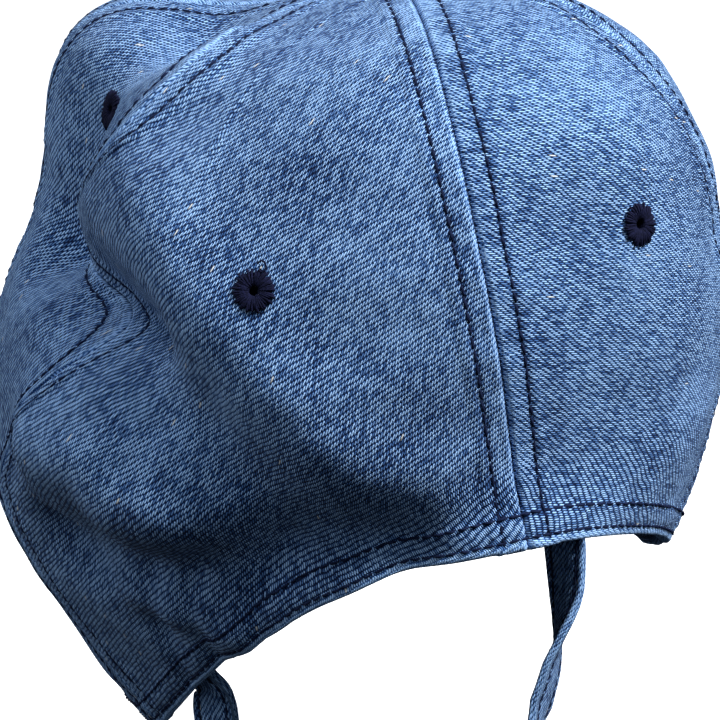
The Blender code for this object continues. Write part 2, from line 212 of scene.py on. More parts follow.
def base(angle, level):
    """The crown's plain outer face; level -1 is the hem, 0 the widest ring and 1 the top."""
    angle, level = np.broadcast_arrays(np.asarray(angle, float), np.asarray(level, float))
    low = level < 0
    tuck = np.maximum(0.0, -level) ** HEM_TUCK_POWER
    latitude = math.pi / 2 * np.maximum(0.0, level)
    rise, ring = np.sin(latitude), np.maximum(np.cos(latitude), 0.0)
    z_low = BELLY_HEIGHT * (1 + level) - hem_height(angle) * level
    z = np.where(low, z_low, BELLY_HEIGHT + (CROWN_HEIGHT - BELLY_HEIGHT) * rise)
    climb = (z - BELLY_HEIGHT) / (CROWN_HEIGHT - BELLY_HEIGHT)
    lean = (climb + np.sqrt(climb ** 2 + LEAN_EASE ** 2)) / 2
    bearing = angle + TOP_TWIST * lean
    side, ahead = np.cos(bearing), np.sin(bearing)
    length_share = np.where(ahead < 0, HEM_BACK_SHARE, HEM_FRONT_SHARE)
    narrow = ring ** CROWN_FULLNESS
    wide = np.where(low, 1 - (1 - HEM_WIDTH_SHARE) * tuck, narrow)
    long = np.where(low, 1 - (1 - length_share) * tuck, narrow)
    shift = np.where(low, 1 - tuck, ring ** TOP_SHIFT_POWER)
    x = BELLY_HALF_WIDTH * wide * side + TOP_LEAN_X * lean
    y = BELLY_HALF_LENGTH * long * ahead + TOP_LEAN_Y * lean + BELLY_FORWARD * shift
    away = turn_between(angle, SHOULDER_ANGLE) / SHOULDER_SPREAD
    near = SHOULDER_BULGE * np.exp(-away ** 2 - ((level - SHOULDER_LEVEL) / SHOULDER_REACH) ** 2)
    return np.stack([x + side * ring * near, y + ahead * ring * near, z + rise * near], -1)


def base_normal(angle, level):
    step = 0.02
    across = base(angle + step, level) - base(angle - step, level)
    up = base(angle, np.minimum(level + step, 0.995)) - base(angle, level - step)
    return unit(np.cross(across, up))


TABLE_STEP = 2.0
TABLE_ANGLES = np.radians(np.arange(-180, 181, TABLE_STEP))
TABLE_LEVELS = np.linspace(-1, TOP_LEVEL, 500)
table_points = base(TABLE_ANGLES[:, None], TABLE_LEVELS[None, :])
table_steps = np.linalg.norm(np.diff(table_points, axis=1), axis=-1)
HEM_TABLE = np.concatenate([np.zeros((len(TABLE_ANGLES), 1)), np.cumsum(table_steps, axis=1)], axis=1)


def table_place(angle):
    """The table's column before this bearing, and the share of the way to the next."""
    place = np.remainder(np.degrees(angle) + 180, 360) / TABLE_STEP
    i = np.clip(np.floor(place).astype(int), 0, len(TABLE_ANGLES) - 2)
    return i, place - i


def hem_distance(angle, level):
    """Length of cloth between the hem's edge and this place, straight up the cap."""
    i, share = table_place(angle)
    row = np.clip((level + 1) / (TOP_LEVEL + 1), 0, 1) * (len(TABLE_LEVELS) - 1)
    j = np.clip(np.floor(row).astype(int), 0, len(TABLE_LEVELS) - 2)
    return cell_value(HEM_TABLE, i, j, share, row - j)


def level_for(angle, distance):
    """The level at this length of cloth above the hem's edge, for paired lists of places."""
    runs = hem_distance(np.asarray(angle)[None, :], TABLE_LEVELS[:, None])
    return np.array([np.interp(d, runs[:, k], TABLE_LEVELS) for k, d in enumerate(distance)])


def row_table():
    """Levels of the cloth's rows at each bearing: parallel to the hem's edge at first, then evenly spread."""
    total = HEM_TABLE[:, -1:]
    low = np.arange(HEM_EDGE, HEM_ZONE, ROW_STEP)
    share = np.linspace(0, 1, int((float(total.mean()) - HEM_ZONE) / ROW_STEP))
    upper = HEM_ZONE + (total - HEM_ZONE) * share
    distances = np.concatenate([np.broadcast_to(low, (len(total), len(low))), upper], axis=1)
    return np.array([np.interp(d, run, TABLE_LEVELS) for d, run in zip(distances, HEM_TABLE)])


ROWS = row_table()
ROW_NUMBERS = np.arange(ROWS.shape[1])


def row_level(angle, row):
    i, share = table_place(angle)
    return ROWS[i, row] * (1 - share) + ROWS[i + 1, row] * share


def run_per_turn(angle, level):
    step = 0.01
    return np.linalg.norm(base(angle + step, level) - base(angle - step, level), axis=-1) / (2 * step)


def crowding(level):
    """Falls below 1 where the gores get too narrow for the full width of their seams."""
    ring = np.maximum(np.cos(math.pi / 2 * np.maximum(0.0, level)), 0.0) ** CROWN_FULLNESS
    return np.clip(BELLY_HALF_WIDTH * ring * math.sin(math.radians(28)) / EDGE_ROOM, 0.03, 1.0)


def seam_angle(seam, level):
    """A seam's bearing at this level; the slouch turns the left side's seams and makes one of them wander."""
    low, high, start, end = SEAMS[seam]
    angle = low + (high - low) * smooth((np.asarray(level, float) - start) / (end - start))
    if seam == "back_left":
        angle = angle - 21 * hump(level - 0.395, 0.085) + 4 * hump(level - 0.66, 0.09)
        angle = angle - 8 * smooth((level - 0.74) / 0.2)
    return np.radians(angle)


def seam_bearings(seam):
    """The seam's bearing on every row of the cloth."""
    angle = seam_angle(seam, np.zeros(len(ROW_NUMBERS)))
    for _ in range(6):
        angle = seam_angle(seam, row_level(angle, ROW_NUMBERS))
    return angle


# ---- folds of the slouching cloth: a line of (degrees, level) places, width and height ----

FOLDS = (
    # the belly of the back left gore, and the shaded hollow under it
    (((216, 0.44), (230, 0.27), (238, 0.14), (247, 0.00), (256, -0.35)), 0.0115, 0.0042),
    (((204, 0.29), (217, 0.23), (229, 0.13), (238, 0.00), (245, -0.40), (250, -0.62)), 0.0105, -0.0058),
    (((197, -0.28), (208, -0.42), (220, -0.52), (232, -0.62)), 0.0085, -0.0042),
    (((232, -0.62), (246, -0.66), (258, -0.62)), 0.0085, -0.0020),
    # the valley that crosses the left seam
    (((186, 0.35), (196, 0.33), (206, 0.29), (217, 0.24)), 0.0070, -0.0080),
    # soft swellings low on the left
    (((202, 0.07), (212, 0.06), (221, -0.06)), 0.0100, 0.0062),
    (((204, -0.55), (211, -0.70), (216, -0.92)), 0.0065, 0.0024),
    # pleats that run down to the hem
    (((199, -0.95), (204, -0.72), (211, -0.48)), 0.0026, -0.0011),
    (((208, -0.95), (214, -0.66), (222, -0.42)), 0.0024, -0.0010),
    (((219, -0.95), (226, -0.70), (234, -0.52)), 0.0026, -0.0009),
    (((196, -0.20), (200, -0.45), (203, -0.75)), 0.0048, -0.0016),
    # the side gore falls in behind the ridge of the left seam
    (((184, 0.42), (186, 0.50), (188, 0.60), (190, 0.74)), 0.0095, -0.0064),
    (((202, 0.44), (208, 0.54), (213, 0.64), (208, 0.74)), 0.0060, 0.0018),
    # gentle waves on the right
    (((284, 0.30), (282, 0.10), (278, -0.20)), 0.0085, -0.0010),
    (((300, 0.45), (303, 0.20), (300, -0.15)), 0.0120, 0.0014),
    # the front and the far side
    (((60, 0.30), (75, 0.05), (92, -0.30)), 0.0100, 0.0016),
    (((120, 0.55), (128, 0.30), (122, 0.00)), 0.0110, -0.0020),
    (((10, 0.40), (14, 0.10), (6, -0.40)), 0.0100, -0.0014),
)


def fold_height(points):
    """How far the folds push the cloth out at these places of the plain surface."""
    flat = points.reshape(-1, 3)
    total = np.zeros(len(flat))
    for line, width, height in FOLDS:
        stops = np.array(line, float)
        share = np.linspace(0, len(stops) - 1, 4 * (len(stops) - 1) + 1)
        turns = np.interp(share, np.arange(len(stops)), stops[:, 0])
        levels = np.interp(share, np.arange(len(stops)), stops[:, 1])
        path = base(np.radians(turns), levels)
        nearest = np.full(len(flat), 1.0)
        for a, b in zip(path, path[1:]):
            run = b - a
            along = np.clip((flat - a) @ run / (run @ run), 0, 1)
            gap = np.linalg.norm(flat - a - along[:, None] * run, axis=1)
            nearest = np.minimum(nearest, gap)
        total += height * hump(nearest, width)
    total += 0.0006 * random_sheet(flat[:, 0] + 0.4 * flat[:, 1], flat[:, 2], 0.019, 3)
    total += 0.0004 * random_sheet(flat[:, 1] - 0.3 * flat[:, 0], flat[:, 2], 0.011, 4)
    total += 0.00012 * random_sheet(flat[:, 0] + flat[:, 1], flat[:, 2], 0.0042, 5)
    return total.reshape(points.shape[:-1])


def seam_relief(away, along, crowd, seed):
    """Height of the cloth beside a seam: away is the distance from the seam, along from the hem."""
    d = away / crowd
    lift = ALLOWANCE_LIFT * smooth((ALLOWANCE + 0.0008 - d) / 0.0010)
    groove = SEAM_GROOVE * hump(d, 0.00042) - 0.00012 * hump(d - 0.0011, 0.0006)
    pinch = 0.65 + 0.35 * np.cos(along / STITCH * TAU)
    dip = ROW_DIP * hump(d - ROW_OFFSET, 0.00048) * pinch
    between = 0.00022 * random_line(along, 0.0033, seed) * hump(d - 0.0023, 0.0016)
    outside = 0.00020 * random_line(along, 0.0046, seed + 1) * hump(d - 0.0058, 0.0018)
    return (lift - groove - dip + between + outside) * smooth(crowd * 1.4)


def hem_relief(height, around):
    """Height of the turned-up hem: height is the distance above its edge, around runs along it."""
    lift = HEM_LIFT * smooth((HEM_DEPTH - height) / 0.0009)
    dips = 0.0
    for k, row in enumerate(HEM_ROWS):
        pinch = 0.65 + 0.35 * np.cos(around / STITCH * TAU + k)
        dips = dips + ROW_DIP * hump(height - row, 0.00048) * pinch
    pucker = 0.00020 * random_line(around, 0.0041, 71) * hump(height - 0.0042, 0.0016)
    ripple = 0.00030 * random_line(around, 0.0060, 72) * hump(height - 0.0088, 0.0030)
    return lift - dips + pucker + ripple


def cloth(angle, level, away=None, seed=0):
    """A point of the finished cloth; away and seed describe the nearest seam, if it is near."""
    angle, level = np.broadcast_arrays(np.asarray(angle, float), np.asarray(level, float))
    plain = base(angle, level)
    along = hem_distance(angle, level)
    height = fold_height(plain) + hem_relief(along, angle * HEM_RADIUS)
    if away is not None:
        height = height + seam_relief(away, along, crowding(level), seed)
    return plain + base_normal(angle, level) * height[..., None]


# ---- mesh makers ----

def grid_faces(columns, rows, start=0, flip=False, ring=False):
    """Quads of a grid stored column by column."""
    i = np.arange(columns if ring else columns - 1)[:, None] * rows
    j = np.arange(rows - 1)[None, :]
    k = (i + rows) % (columns * rows)
    quads = np.stack([i + j, k + j, k + j + 1, i + j + 1], -1).reshape(-1, 4) + start
    return quads[:, ::-1] if flip else quads


def shell_faces(columns, rows, flip=False, ring=False):
    """A closed sheet: two grids, one stored after the other, and the walls along their borders."""
    inner, top = columns * rows, rows - 1
    i = np.arange(columns) * rows
    if ring:
        a = np.concatenate([i, np.roll(i, -1) + top])
        b = np.concatenate([np.roll(i, -1), i + top])
    else:
        a = np.concatenate([i, i[-1] + np.arange(1, rows), i[-2::-1] + top, np.arange(rows - 2, 0, -1)])
        b = np.roll(a, -1)
    walls = np.stack([a, inner + a, inner + b, b], -1)
    grids = [grid_faces(columns, rows, 0, flip, ring), grid_faces(columns, rows, inner, not flip, ring)]
    return np.concatenate(grids + [walls[:, ::-1] if flip else walls]).tolist()


def make_piece(name, shape, look, nodes=(), body="crown", bend=None, uv=None, wear_and_shade=None):
    """A piece from its points and faces, made in a look: a material.

    It replaces the CAD nodes and moves with one body; given a bend, (body, body, start, end), its transform
    is only baked in and it is not attached to any body.
    uv is cloth millimetres for each point, and the wear and painted shade values run from -1, darker along
    stitches and grooves, to 1, pale worn cloth.
    """
    points = np.asarray(shape[0], float).reshape(-1, 3)
    mesh = bpy.data.meshes.new(name)
    mesh.from_pydata(points.tolist(), [], [list(map(int, face)) for face in shape[1]])
    if uv is not None:
        corner = np.zeros(len(mesh.loops), int)
        mesh.loops.foreach_get("vertex_index", corner)
        places = np.asarray(uv, float).reshape(-1, 2)[corner].astype(np.float32).ravel()
        mesh.uv_layers.new(name="cloth").data.foreach_set("uv", places)
    values = np.zeros(len(points)) if wear_and_shade is None else np.asarray(wear_and_shade, float).ravel()
    mesh.attributes.new("wear_and_shade", "FLOAT", "POINT").data.foreach_set("value", values.astype(np.float32))
    mesh.materials.append(look[0])
    mesh.update()
    mesh.shade_smooth()
    made = bpy.data.objects.new(name, mesh)
    bpy.context.scene.collection.objects.link(made)
    if nodes:
        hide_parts(*nodes)
    if bend:
        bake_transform(made)
    else:
        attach(made, body)
    return made


def tubes(starts, normals, radii, tangents=None, sides=6):
    """Tubes through [tube, station] points; returns points and faces, each tube closed at its ends."""
    count, stations = starts.shape[:2]
    if tangents is None:
        tangents = unit(np.gradient(starts, axis=1))
    across = unit(np.cross(tangents, normals))
    up = unit(np.cross(across, tangents))
    turn = np.arange(sides)[:, None] * TAU / sides
    ring = np.cos(turn) * across[:, :, None, :] + np.sin(turn) * up[:, :, None, :]
    points = starts[:, :, None, :] + ring * radii[:, :, None, None]
    first = np.arange(count)[:, None, None] * stations * sides
    s = first + np.arange(stations - 1)[None, :, None] * sides
    k = np.arange(sides)[None, None, :]
    n = (k + 1) % sides
    faces = np.stack([s + k, s + n, s + sides + n, s + sides + k], -1).reshape(-1, 4).tolist()
    for begin in range(0, count * stations * sides, stations * sides):
        faces.append([begin + i for i in range(sides)][::-1])
        faces.append([begin + (stations - 1) * sides + i for i in range(sides)])
    return points.reshape(-1, 3), faces


def stitch_row(path, normals, seed):
    """Topstitches along a path on the cloth: short threads that dive in at each needle hole."""
    run = run_along(path)
    count = max(1, int(run[-1] / STITCH))
    rng = np.random.default_rng(seed)
    share = np.linspace(0.03, 0.97, 6)
    place = (np.arange(count)[:, None] + share) * (run[-1] / count)
    starts = spread(place, run, path)
    up = unit(spread(place, run, normals))
    tangents = unit(np.gradient(starts, axis=1))
    bow = np.sin(share * math.pi)
    size = THREAD / 2 * rng.uniform(0.85, 1.1, (count, 1)) * (0.62 + 0.38 * bow)
    slant = rng.uniform(-0.12, 0.12, (count, 1)) * (share - 0.5) * THREAD * 4
    lift = THREAD * (0.62 * bow - 0.34) + rng.uniform(-0.05, 0.05, (count, 1)) * THREAD
    starts = starts + up * lift[..., None] + unit(np.cross(tangents, up)) * slant[..., None]
    return tubes(starts, up, size, tangents)


def join(parts):
    """Points and faces of several pieces as one."""
    points, faces, start = [], [], 0
    for p, f in parts:
        points.append(p)
        faces += [[i + start for i in face] for face in f]
        start += len(p)
    return np.concatenate(points), faces


def spun(profile, centre, side, other, axis, sides, closed=False):
    """A shape turned about an axis from (radius, height) pairs, closed by a tube or by two end discs."""
    turns = np.arange(sides) * TAU / sides
    ring = np.cos(turns)[:, None] * side + np.sin(turns)[:, None] * other
    points = np.stack([centre + ring * radius + axis * height for radius, height in profile], 1)
    count, start = len(profile), np.arange(sides) * len(profile)
    faces = grid_faces(sides, count, ring=True).tolist()
    if closed:
        k = np.roll(start, -1)
        faces += np.stack([start + count - 1, k + count - 1, k, start], -1).tolist()
    elif tuple(profile[0]) != tuple(profile[-1]):
        faces += [start[::-1].tolist(), (start + count - 1).tolist()]
    return points.reshape(-1, 3), faces


# ---- materials ----

class Nodes:
    """A material's or a world's node tree, with one short call for each kind of node."""

    def __init__(self, name, kind="materials"):
        self.owner = getattr(bpy.data, kind).new(name)
        self.owner.use_nodes = True
        self.tree = self.owner.node_tree

    def wire(self, value, socket):
        if isinstance(value, bpy.types.NodeSocket):
            self.tree.links.new(value, socket)
        elif isinstance(value, tuple) and len(value) == 3 and socket.type == "RGBA":
            socket.default_value = (*value, 1.0)
        else:
            socket.default_value = value

    def node(self, kind, inputs, output=0, **settings):
        """A node with its settings and with its inputs by name or number; gives one of its outputs."""
        made = self.tree.nodes.new(kind)
        for key, value in settings.items():
            setattr(made, key, value)
        for key, value in inputs.items():
            self.wire(value, made.inputs[key])
        return made.outputs[output]

    def math(self, operation, a, b=0.0, c=0.0, clamp=False):
        return self.node("ShaderNodeMath", {0: a, 1: b, 2: c}, operation=operation, use_clamp=clamp)

    def scaled(self, value, by, plus):
        return self.math("MULTIPLY_ADD", value, by, plus)

    def uv(self):
        return self.node("ShaderNodeUVMap", {}, uv_map="cloth")

    def place(self, kind="Object"):
        return self.node("ShaderNodeTexCoord", {}, kind)

    def split(self, vector):
        return self.node("ShaderNodeSeparateXYZ", {0: vector}).node.outputs

    def combine(self, x, y):
        return self.node("ShaderNodeCombineXYZ", {0: x, 1: y})

    def noise(self, vector, scale, detail=2.0, rough=0.5, space="2D"):
        inputs = {"Vector": vector, "Scale": scale, "Detail": detail, "Roughness": rough}
        return self.node("ShaderNodeTexNoise", inputs, noise_dimensions=space)

    def white(self, vector):
        return self.node("ShaderNodeTexWhiteNoise", {"Vector": vector}, noise_dimensions="2D")

    def ramp(self, value, *stops):
        colour = self.node("ShaderNodeValToRGB", {0: value})
        elements = colour.node.color_ramp.elements
        while len(elements) < len(stops):
            elements.new(0.5)
        for element, (place, shade) in zip(elements, stops):
            element.position = place
            element.color = (*shade, 1.0)
        return colour

    def bump(self, height, distance, strength):
        return self.node("ShaderNodeBump", {"Height": height, "Distance": distance, "Strength": strength})

    def finish(self, shader="Principled BSDF", **inputs):
        """Sets or wires the shader's inputs, named with _ for a space, and gives the material or world."""
        for key, value in inputs.items():
            self.wire(value, self.tree.nodes[shader].inputs[key.replace("_", " ")])
        return self.owner


END_WIDTH = 0.335
PICK = 0.46
TWILL = 3
DEEP_BLUE = (0.001, 0.008, 0.044)
MIDDLE_BLUE = (0.050, 0.150, 0.410)
PALE_BLUE = (0.40, 0.64, 1.0)
NEP_SHARE = 0.0015
NEP_COLOUR = (0.80, 0.82, 0.80)


def denim_material(name):
    """2/1 twill: long warp floats, each a little different, worn pale on their crests."""
    n = Nodes(name)
    uv = n.uv()
    a, b, _ = n.split(uv)
    sway_a = n.scaled(n.noise(uv, 0.45, 1.0), 0.20, -0.10)
    sway_b = n.scaled(n.noise(n.combine(b, a), 0.30, 1.0), 0.9, -0.45)
    ends = n.math("DIVIDE", n.math("ADD", a, sway_a), END_WIDTH)
    end = n.math("FLOOR", ends)
    across = n.scaled(n.math("SUBTRACT", ends, end), 2.0, -1.0)
    picks = n.math("DIVIDE", n.math("ADD", b, sway_b), PICK)
    floats = n.math("DIVIDE", n.math("SUBTRACT", picks, end), TWILL)
    one = n.math("FLOOR", floats)
    along = n.math("ABSOLUTE", n.math("SUBTRACT", n.math("SUBTRACT", floats, one), 0.5))
    rounded = n.math("SUBTRACT", 1.0, n.math("MULTIPLY", across, across))
    crest = n.math("MULTIPLY", n.math("SUBTRACT", 0.5, along), 3.4, clamp=True)
    height = n.math("MULTIPLY", rounded, crest)
    fleck = n.white(n.combine(end, one))
    yarn = n.noise(n.combine(n.math("MULTIPLY", end, 5.37), n.math("MULTIPLY", b, 0.16)), 1.0)
    fine = n.noise(uv, 1.3, 3.0, 0.7)
    value = n.scaled(height, n.scaled(fleck, 0.80, 0.54), -0.04)
    cloud = n.noise(uv, 0.045, 3.0, 0.55)
    patch = n.noise(uv, 0.24)
    shares = (yarn, 0.36, -0.18), (cloud, 0.54, -0.28), (patch, 0.13, -0.065), (fine, 0.40, -0.20)
    for source, by, plus in shares:
        value = n.math("ADD", value, n.scaled(source, by, plus))
    # The wear attribute holds pale worn cloth and painted shade: darker along stitch rows and in seam and
    # edge grooves.
    wear_and_shade = n.node("ShaderNodeAttribute", {}, "Fac", attribute_name="wear_and_shade")
    colour = n.ramp(n.scaled(wear_and_shade, 0.42, value), (0.10, DEEP_BLUE), (0.44, MIDDLE_BLUE), (0.90, PALE_BLUE))
    nep = n.math("GREATER_THAN", n.white(n.combine(one, end)), 1 - NEP_SHARE)
    mixed = {0: n.math("MULTIPLY", nep, height), 6: colour, 7: NEP_COLOUR}
    colour = n.node("ShaderNodeMix", mixed, 2, data_type="RGBA")
    relief = n.bump(n.scaled(fine, 0.5, height), 0.00016, 0.9)
    return n.finish(Base_Color=colour, Roughness=0.92, Specular_IOR_Level=0.18, Sheen_Weight=0.10,
                    Sheen_Roughness=0.45, Sheen_Tint=(0.62, 0.74, 0.95), Normal=relief)


def thread_material(name, colour, light):
    """Polyester thread: a fine twisted ply with a soft gloss."""
    n = Nodes(name)
    ply = n.noise(n.place(), 2600.0, 2.0, 0.6, "3D")
    return n.finish(Base_Color=n.ramp(ply, (0.35, colour), (0.75, light)), Roughness=0.85,
                    Specular_IOR_Level=0.12, Normal=n.bump(ply, 0.00008, 0.8))


def tape_material(name, colour, light, width=0.55):
    """Woven tape or twill lining seen inside the cap."""
    n = Nodes(name)
    a, b, _ = n.split(n.uv())
    ribs = n.math("SINE", n.math("MULTIPLY", n.math("ADD", a, n.math("PINGPONG", b, 3.0)), TAU / width))
    value = n.math("ADD", n.math("MULTIPLY", ribs, 0.22), n.noise(n.uv(), 1.1, 3.0, 0.6))
    colours = n.ramp(value, (0.2, colour), (0.8, light))
    return n.finish(Base_Color=colours, Roughness=0.9, Normal=n.bump(value, 0.00015, 0.8))


def metal_material(name):
    n = Nodes(name)
    grain = n.noise(n.place(), 900.0, 3.0, 0.6, "3D")
    colours = n.ramp(grain, (0.3, (0.32, 0.32, 0.34)), (0.7, (0.55, 0.55, 0.57)))
    return n.finish(Base_Color=colours, Metallic=1.0, Roughness=n.scaled(grain, 0.22, 0.24),
                    Normal=n.bump(grain, 0.00003, 0.5))


# Each look is a material and the slot it stands for.
DENIM = denim_material("washed_denim"), "denim"
NAVY_PLY = thread_material("navy_topstitch", (0.003, 0.007, 0.028), (0.012, 0.022, 0.070))
TOPSTITCH = NAVY_PLY, "navy_thread"
NAVY_FLOSS = thread_material("navy_satin_stitch", (0.002, 0.003, 0.014), (0.010, 0.012, 0.048))
SATIN = NAVY_FLOSS, "navy_thread"
TAPE = tape_material("navy_tape", (0.010, 0.018, 0.045), (0.045, 0.070, 0.130)), "cotton_tape"
SOFT_TWILL = tape_material("sweatband_twill", (0.030, 0.050, 0.100), (0.120, 0.170, 0.270), 0.8)
LINING = SOFT_TWILL, "sweatband_twill"
METAL = metal_material("dull_nickel"), "stud_metal"
BOARD = thread_material("visor_board_plastic", (0.62, 0.62, 0.60), (0.74, 0.74, 0.71)), "visor_board"


# ---- the gores ----

EDGE_PLACES = np.array((
    0, 0.3, 0.6, 0.95, 1.4, 2.0, 2.7, 3.3, 3.7, 3.95, 4.2, 4.45, 4.7, 5.2, 5.9, 6.5, 7.1, 8.0,
)) / 1000
EDGE_TURNS = np.radians((30, 60, 90, 120, 150))
EDGE_WEAR = (0.95, 0.8, 0.5, 0.1, 0.0)
# How much thicker the cloth is at the hem and where the seam allowance lies under it.
HEM_EXTRA = 0.0009
ALLOWANCE_EXTRA = 0.0006
# Cloth turned under along both sides of a gore and at its two ends.
SIDE_SEAMS = 0.012
END_SEAMS = 0.014


def gore_net(first, last):
    """Bearings, levels and distances from the first seam of a gore's points, and its width on each row."""
    start, end = seam_bearings(first), seam_bearings(last)
    end = np.where(end < start, end + TAU, end)
    turns = start + (end - start) * np.linspace(0, 1, 90)[:, None]
    line = base(turns, row_level(turns, ROW_NUMBERS))
    steps = np.linalg.norm(np.diff(line, axis=0), axis=-1)
    run = np.concatenate([np.zeros((1, len(start))), np.cumsum(steps, axis=0)])
    angles, places = [], []
    for row in ROW_NUMBERS:
        near = SEAM_INSET + EDGE_PLACES * float(crowding(row_level(start[row], row)))
        far = run[-1, row] - SEAM_INSET - EDGE_PLACES[::-1] * float(crowding(row_level(end[row], row)))
        middle = np.linspace(near[-1], far[0], MIDDLE_COLUMNS + 2)[1:-1]
        place = np.concatenate([near, middle, far])
        angles.append(np.interp(place, run[:, row], turns[:, row]))
        places.append(place)
    angles = np.array(angles).T
    return angles, row_level(angles, ROW_NUMBERS), np.array(places).T, run[-1]


def seam_seed(seam, side):
    return 100 + 10 * list(SEAMS).index(seam) + 5 * side


def wear_and_shade_at(away, along, crowd, seed):
    """Pale worn edges beside the seam and on the hem's edge, and painted shade: darker along the stitches and
    in the seam's groove.
    """
    d = away / crowd
    edge = 1.15 * hump(d - 0.00055, 0.00050) * (0.55 + 0.45 * random_line(along, 0.0016, seed + 2))
    band = 0.30 * hump(d - 0.0027, 0.0014) * (0.4 + random_line(along, 0.0028, seed + 3))
    # Painted shade: darker along each stitch row and right at the seam's groove, where shadow falls.
    painted_shade = 0.55 * hump(d - ROW_OFFSET, 0.00060) + 0.6 * hump(d, 0.00022)
    return edge + band - painted_shade


def cloth_place(angle, level, middle):
    """Millimetres across and up the flat gore: across from its middle bearing, up from the widest ring."""
    turn = turn_between(angle, middle)
    runs = [run_per_turn(middle + turn * share, level) for share in (0.1, 0.3, 0.5, 0.7, 0.9)]
    up = hem_distance(angle, level) - hem_distance(angle, 0 * level)
    return turn * np.mean(runs, axis=0) * 1000, up * 1000


def hole_walls(hole, rows, inner_start):
    """The cut edge of the cloth round an eyelet's hole, between its outer and inner faces."""
    walls = []
    for i, j in np.argwhere(hole):
        corners = [i * rows + j, (i + 1) * rows + j, (i + 1) * rows + j + 1, i * rows + j + 1]
        for k, (di, dj) in enumerate(((0, -1), (1, 0), (0, 1), (-1, 0))):
            if not hole[i + di, j + dj]:
                a, b = corners[k], corners[(k + 1) % 4]
                walls.append([b, a, inner_start + a, inner_start + b])
    return np.array(walls)


def gore_faces(columns, rows, hole):
    """Both faces of a gore with the eyelet's hole, the hem's rounded edge, and the walls at the seams."""
    inner, edge, count, kept = columns * rows, 2 * columns * rows, len(EDGE_TURNS), ~hole.ravel()
    faces = [grid_faces(columns, rows)[kept], grid_faces(columns, rows, inner, flip=True)[kept]]
    faces += [hole_walls(hole, rows, inner), grid_faces(columns, count, edge, flip=True)]
    o, top, last = np.arange(columns - 1) * rows, rows - 1, count - 1
    n, e = inner + o, edge + np.arange(columns - 1) * count
    faces.append(np.stack([o, e, e + count, o + rows], -1))
    faces.append(np.stack([n, n + rows, e + count + last, e + last], -1))
    faces.append(np.stack([o + top, o + rows + top, n + rows + top, n + top], -1))
    caps = []
    for column, step in ((0, 1), (columns - 1, -1)):
        o = column * rows + np.arange(rows - 1)
        faces.append(np.stack([o, o + 1, inner + o + 1, inner + o], -1)[:, ::step])
        cap = [column * rows, inner + column * rows]
        caps.append((cap + [edge + column * count + k for k in range(last, -1, -1)])[::step])
    return np.concatenate(faces).tolist() + caps


def build_gore(name, first, last, index):
    angles, levels, places, widths = gore_net(first, last)
    crowd, along = crowding(levels), hem_distance(angles, levels)
    plain, normal = base(angles, levels), base_normal(angles, levels)
    height = fold_height(plain) + hem_relief(along, angles * HEM_RADIUS)
    frayed = 0.7 + 0.3 * random_line(angles * HEM_RADIUS, 0.0021, 31)
    wear_and_shade = 1.1 * hump(along - HEM_EDGE, 0.0009) * frayed
    # Painted shade: the cloth is darker along the hem's two stitch rows.
    for row in HEM_ROWS:
        wear_and_shade = wear_and_shade - 0.5 * hump(along - row, 0.0006)
    from_last = widths[None, :] - places
    for away, seed in ((places, seam_seed(first, 1)), (from_last, seam_seed(last, 0))):
        height = height + seam_relief(away, along, crowd, seed)
        wear_and_shade = wear_and_shade + wear_and_shade_at(away, along, crowd, seed)
    outer = plain + normal * height[..., None]
    nearest = np.minimum(places, from_last) / crowd
    thickness = CLOTH + HEM_EXTRA * smooth((HEM_DEPTH - along) / 0.0006)
    thickness = thickness + ALLOWANCE_EXTRA * smooth((ALLOWANCE - nearest) / 0.0008)
    inner = plain + normal * (height - thickness)[..., None]
    down = unit(outer[:, 0] - outer[:, 1])
    core, half = (outer[:, 0] + inner[:, 0]) / 2, (outer[:, 0] - inner[:, 0]) / 2
    radius = np.linalg.norm(half, axis=-1, keepdims=True)
    edge = np.stack([core + half * math.cos(t) + down * radius * math.sin(t) for t in EDGE_TURNS], 1)
    bearing, level = eyelet_place(name)
    centre = cloth(bearing, level)
    hole = np.linalg.norm((outer[1:, 1:] + outer[:-1, :-1]) / 2 - centre, axis=-1) < CLOTH_HOLE
    u, v = cloth_place(angles, levels, bearing)
    lean = math.radians(WARP_LEAN[name])
    c, s = math.cos(lean), math.sin(lean)
    warp = np.stack([u * c - v * s, u * s + v * c], -1) + np.array([index * 211.0, index * 97.0])
    edge_uv = warp[:, :1] - np.array([-s, c]) * (np.arange(len(EDGE_TURNS)) * 0.65 + 0.65)[:, None]
    points = np.concatenate([part.reshape(-1, 3) for part in (outer, inner, edge)])
    uv = np.concatenate([part.reshape(-1, 2) for part in (warp, warp + 51.0, edge_uv)])
    wear_and_shade = np.concatenate([wear_and_shade.ravel(), np.full(wear_and_shade.size, 0.05), np.tile(EDGE_WEAR, len(angles))])
    shape = points, gore_faces(*angles.shape, hole)
    gore = make_piece("gore_" + name, shape, DENIM, ["panel_" + name], uv=uv, wear_and_shade=wear_and_shade)
    length = along.mean(0)[-1]
    area = (widths * np.diff(along.mean(0), prepend=0)).sum() + SIDE_SEAMS * length + END_SEAMS * widths[0]
    wide, long = float(widths.max() + SIDE_SEAMS), float(length + END_SEAMS)
    area = min(float(area), wide * long)


# ---- topstitching ----

def make_topstitch(name, rows, **moves):
    make_piece("topstitch_" + name, join(rows), TOPSTITCH, **moves)


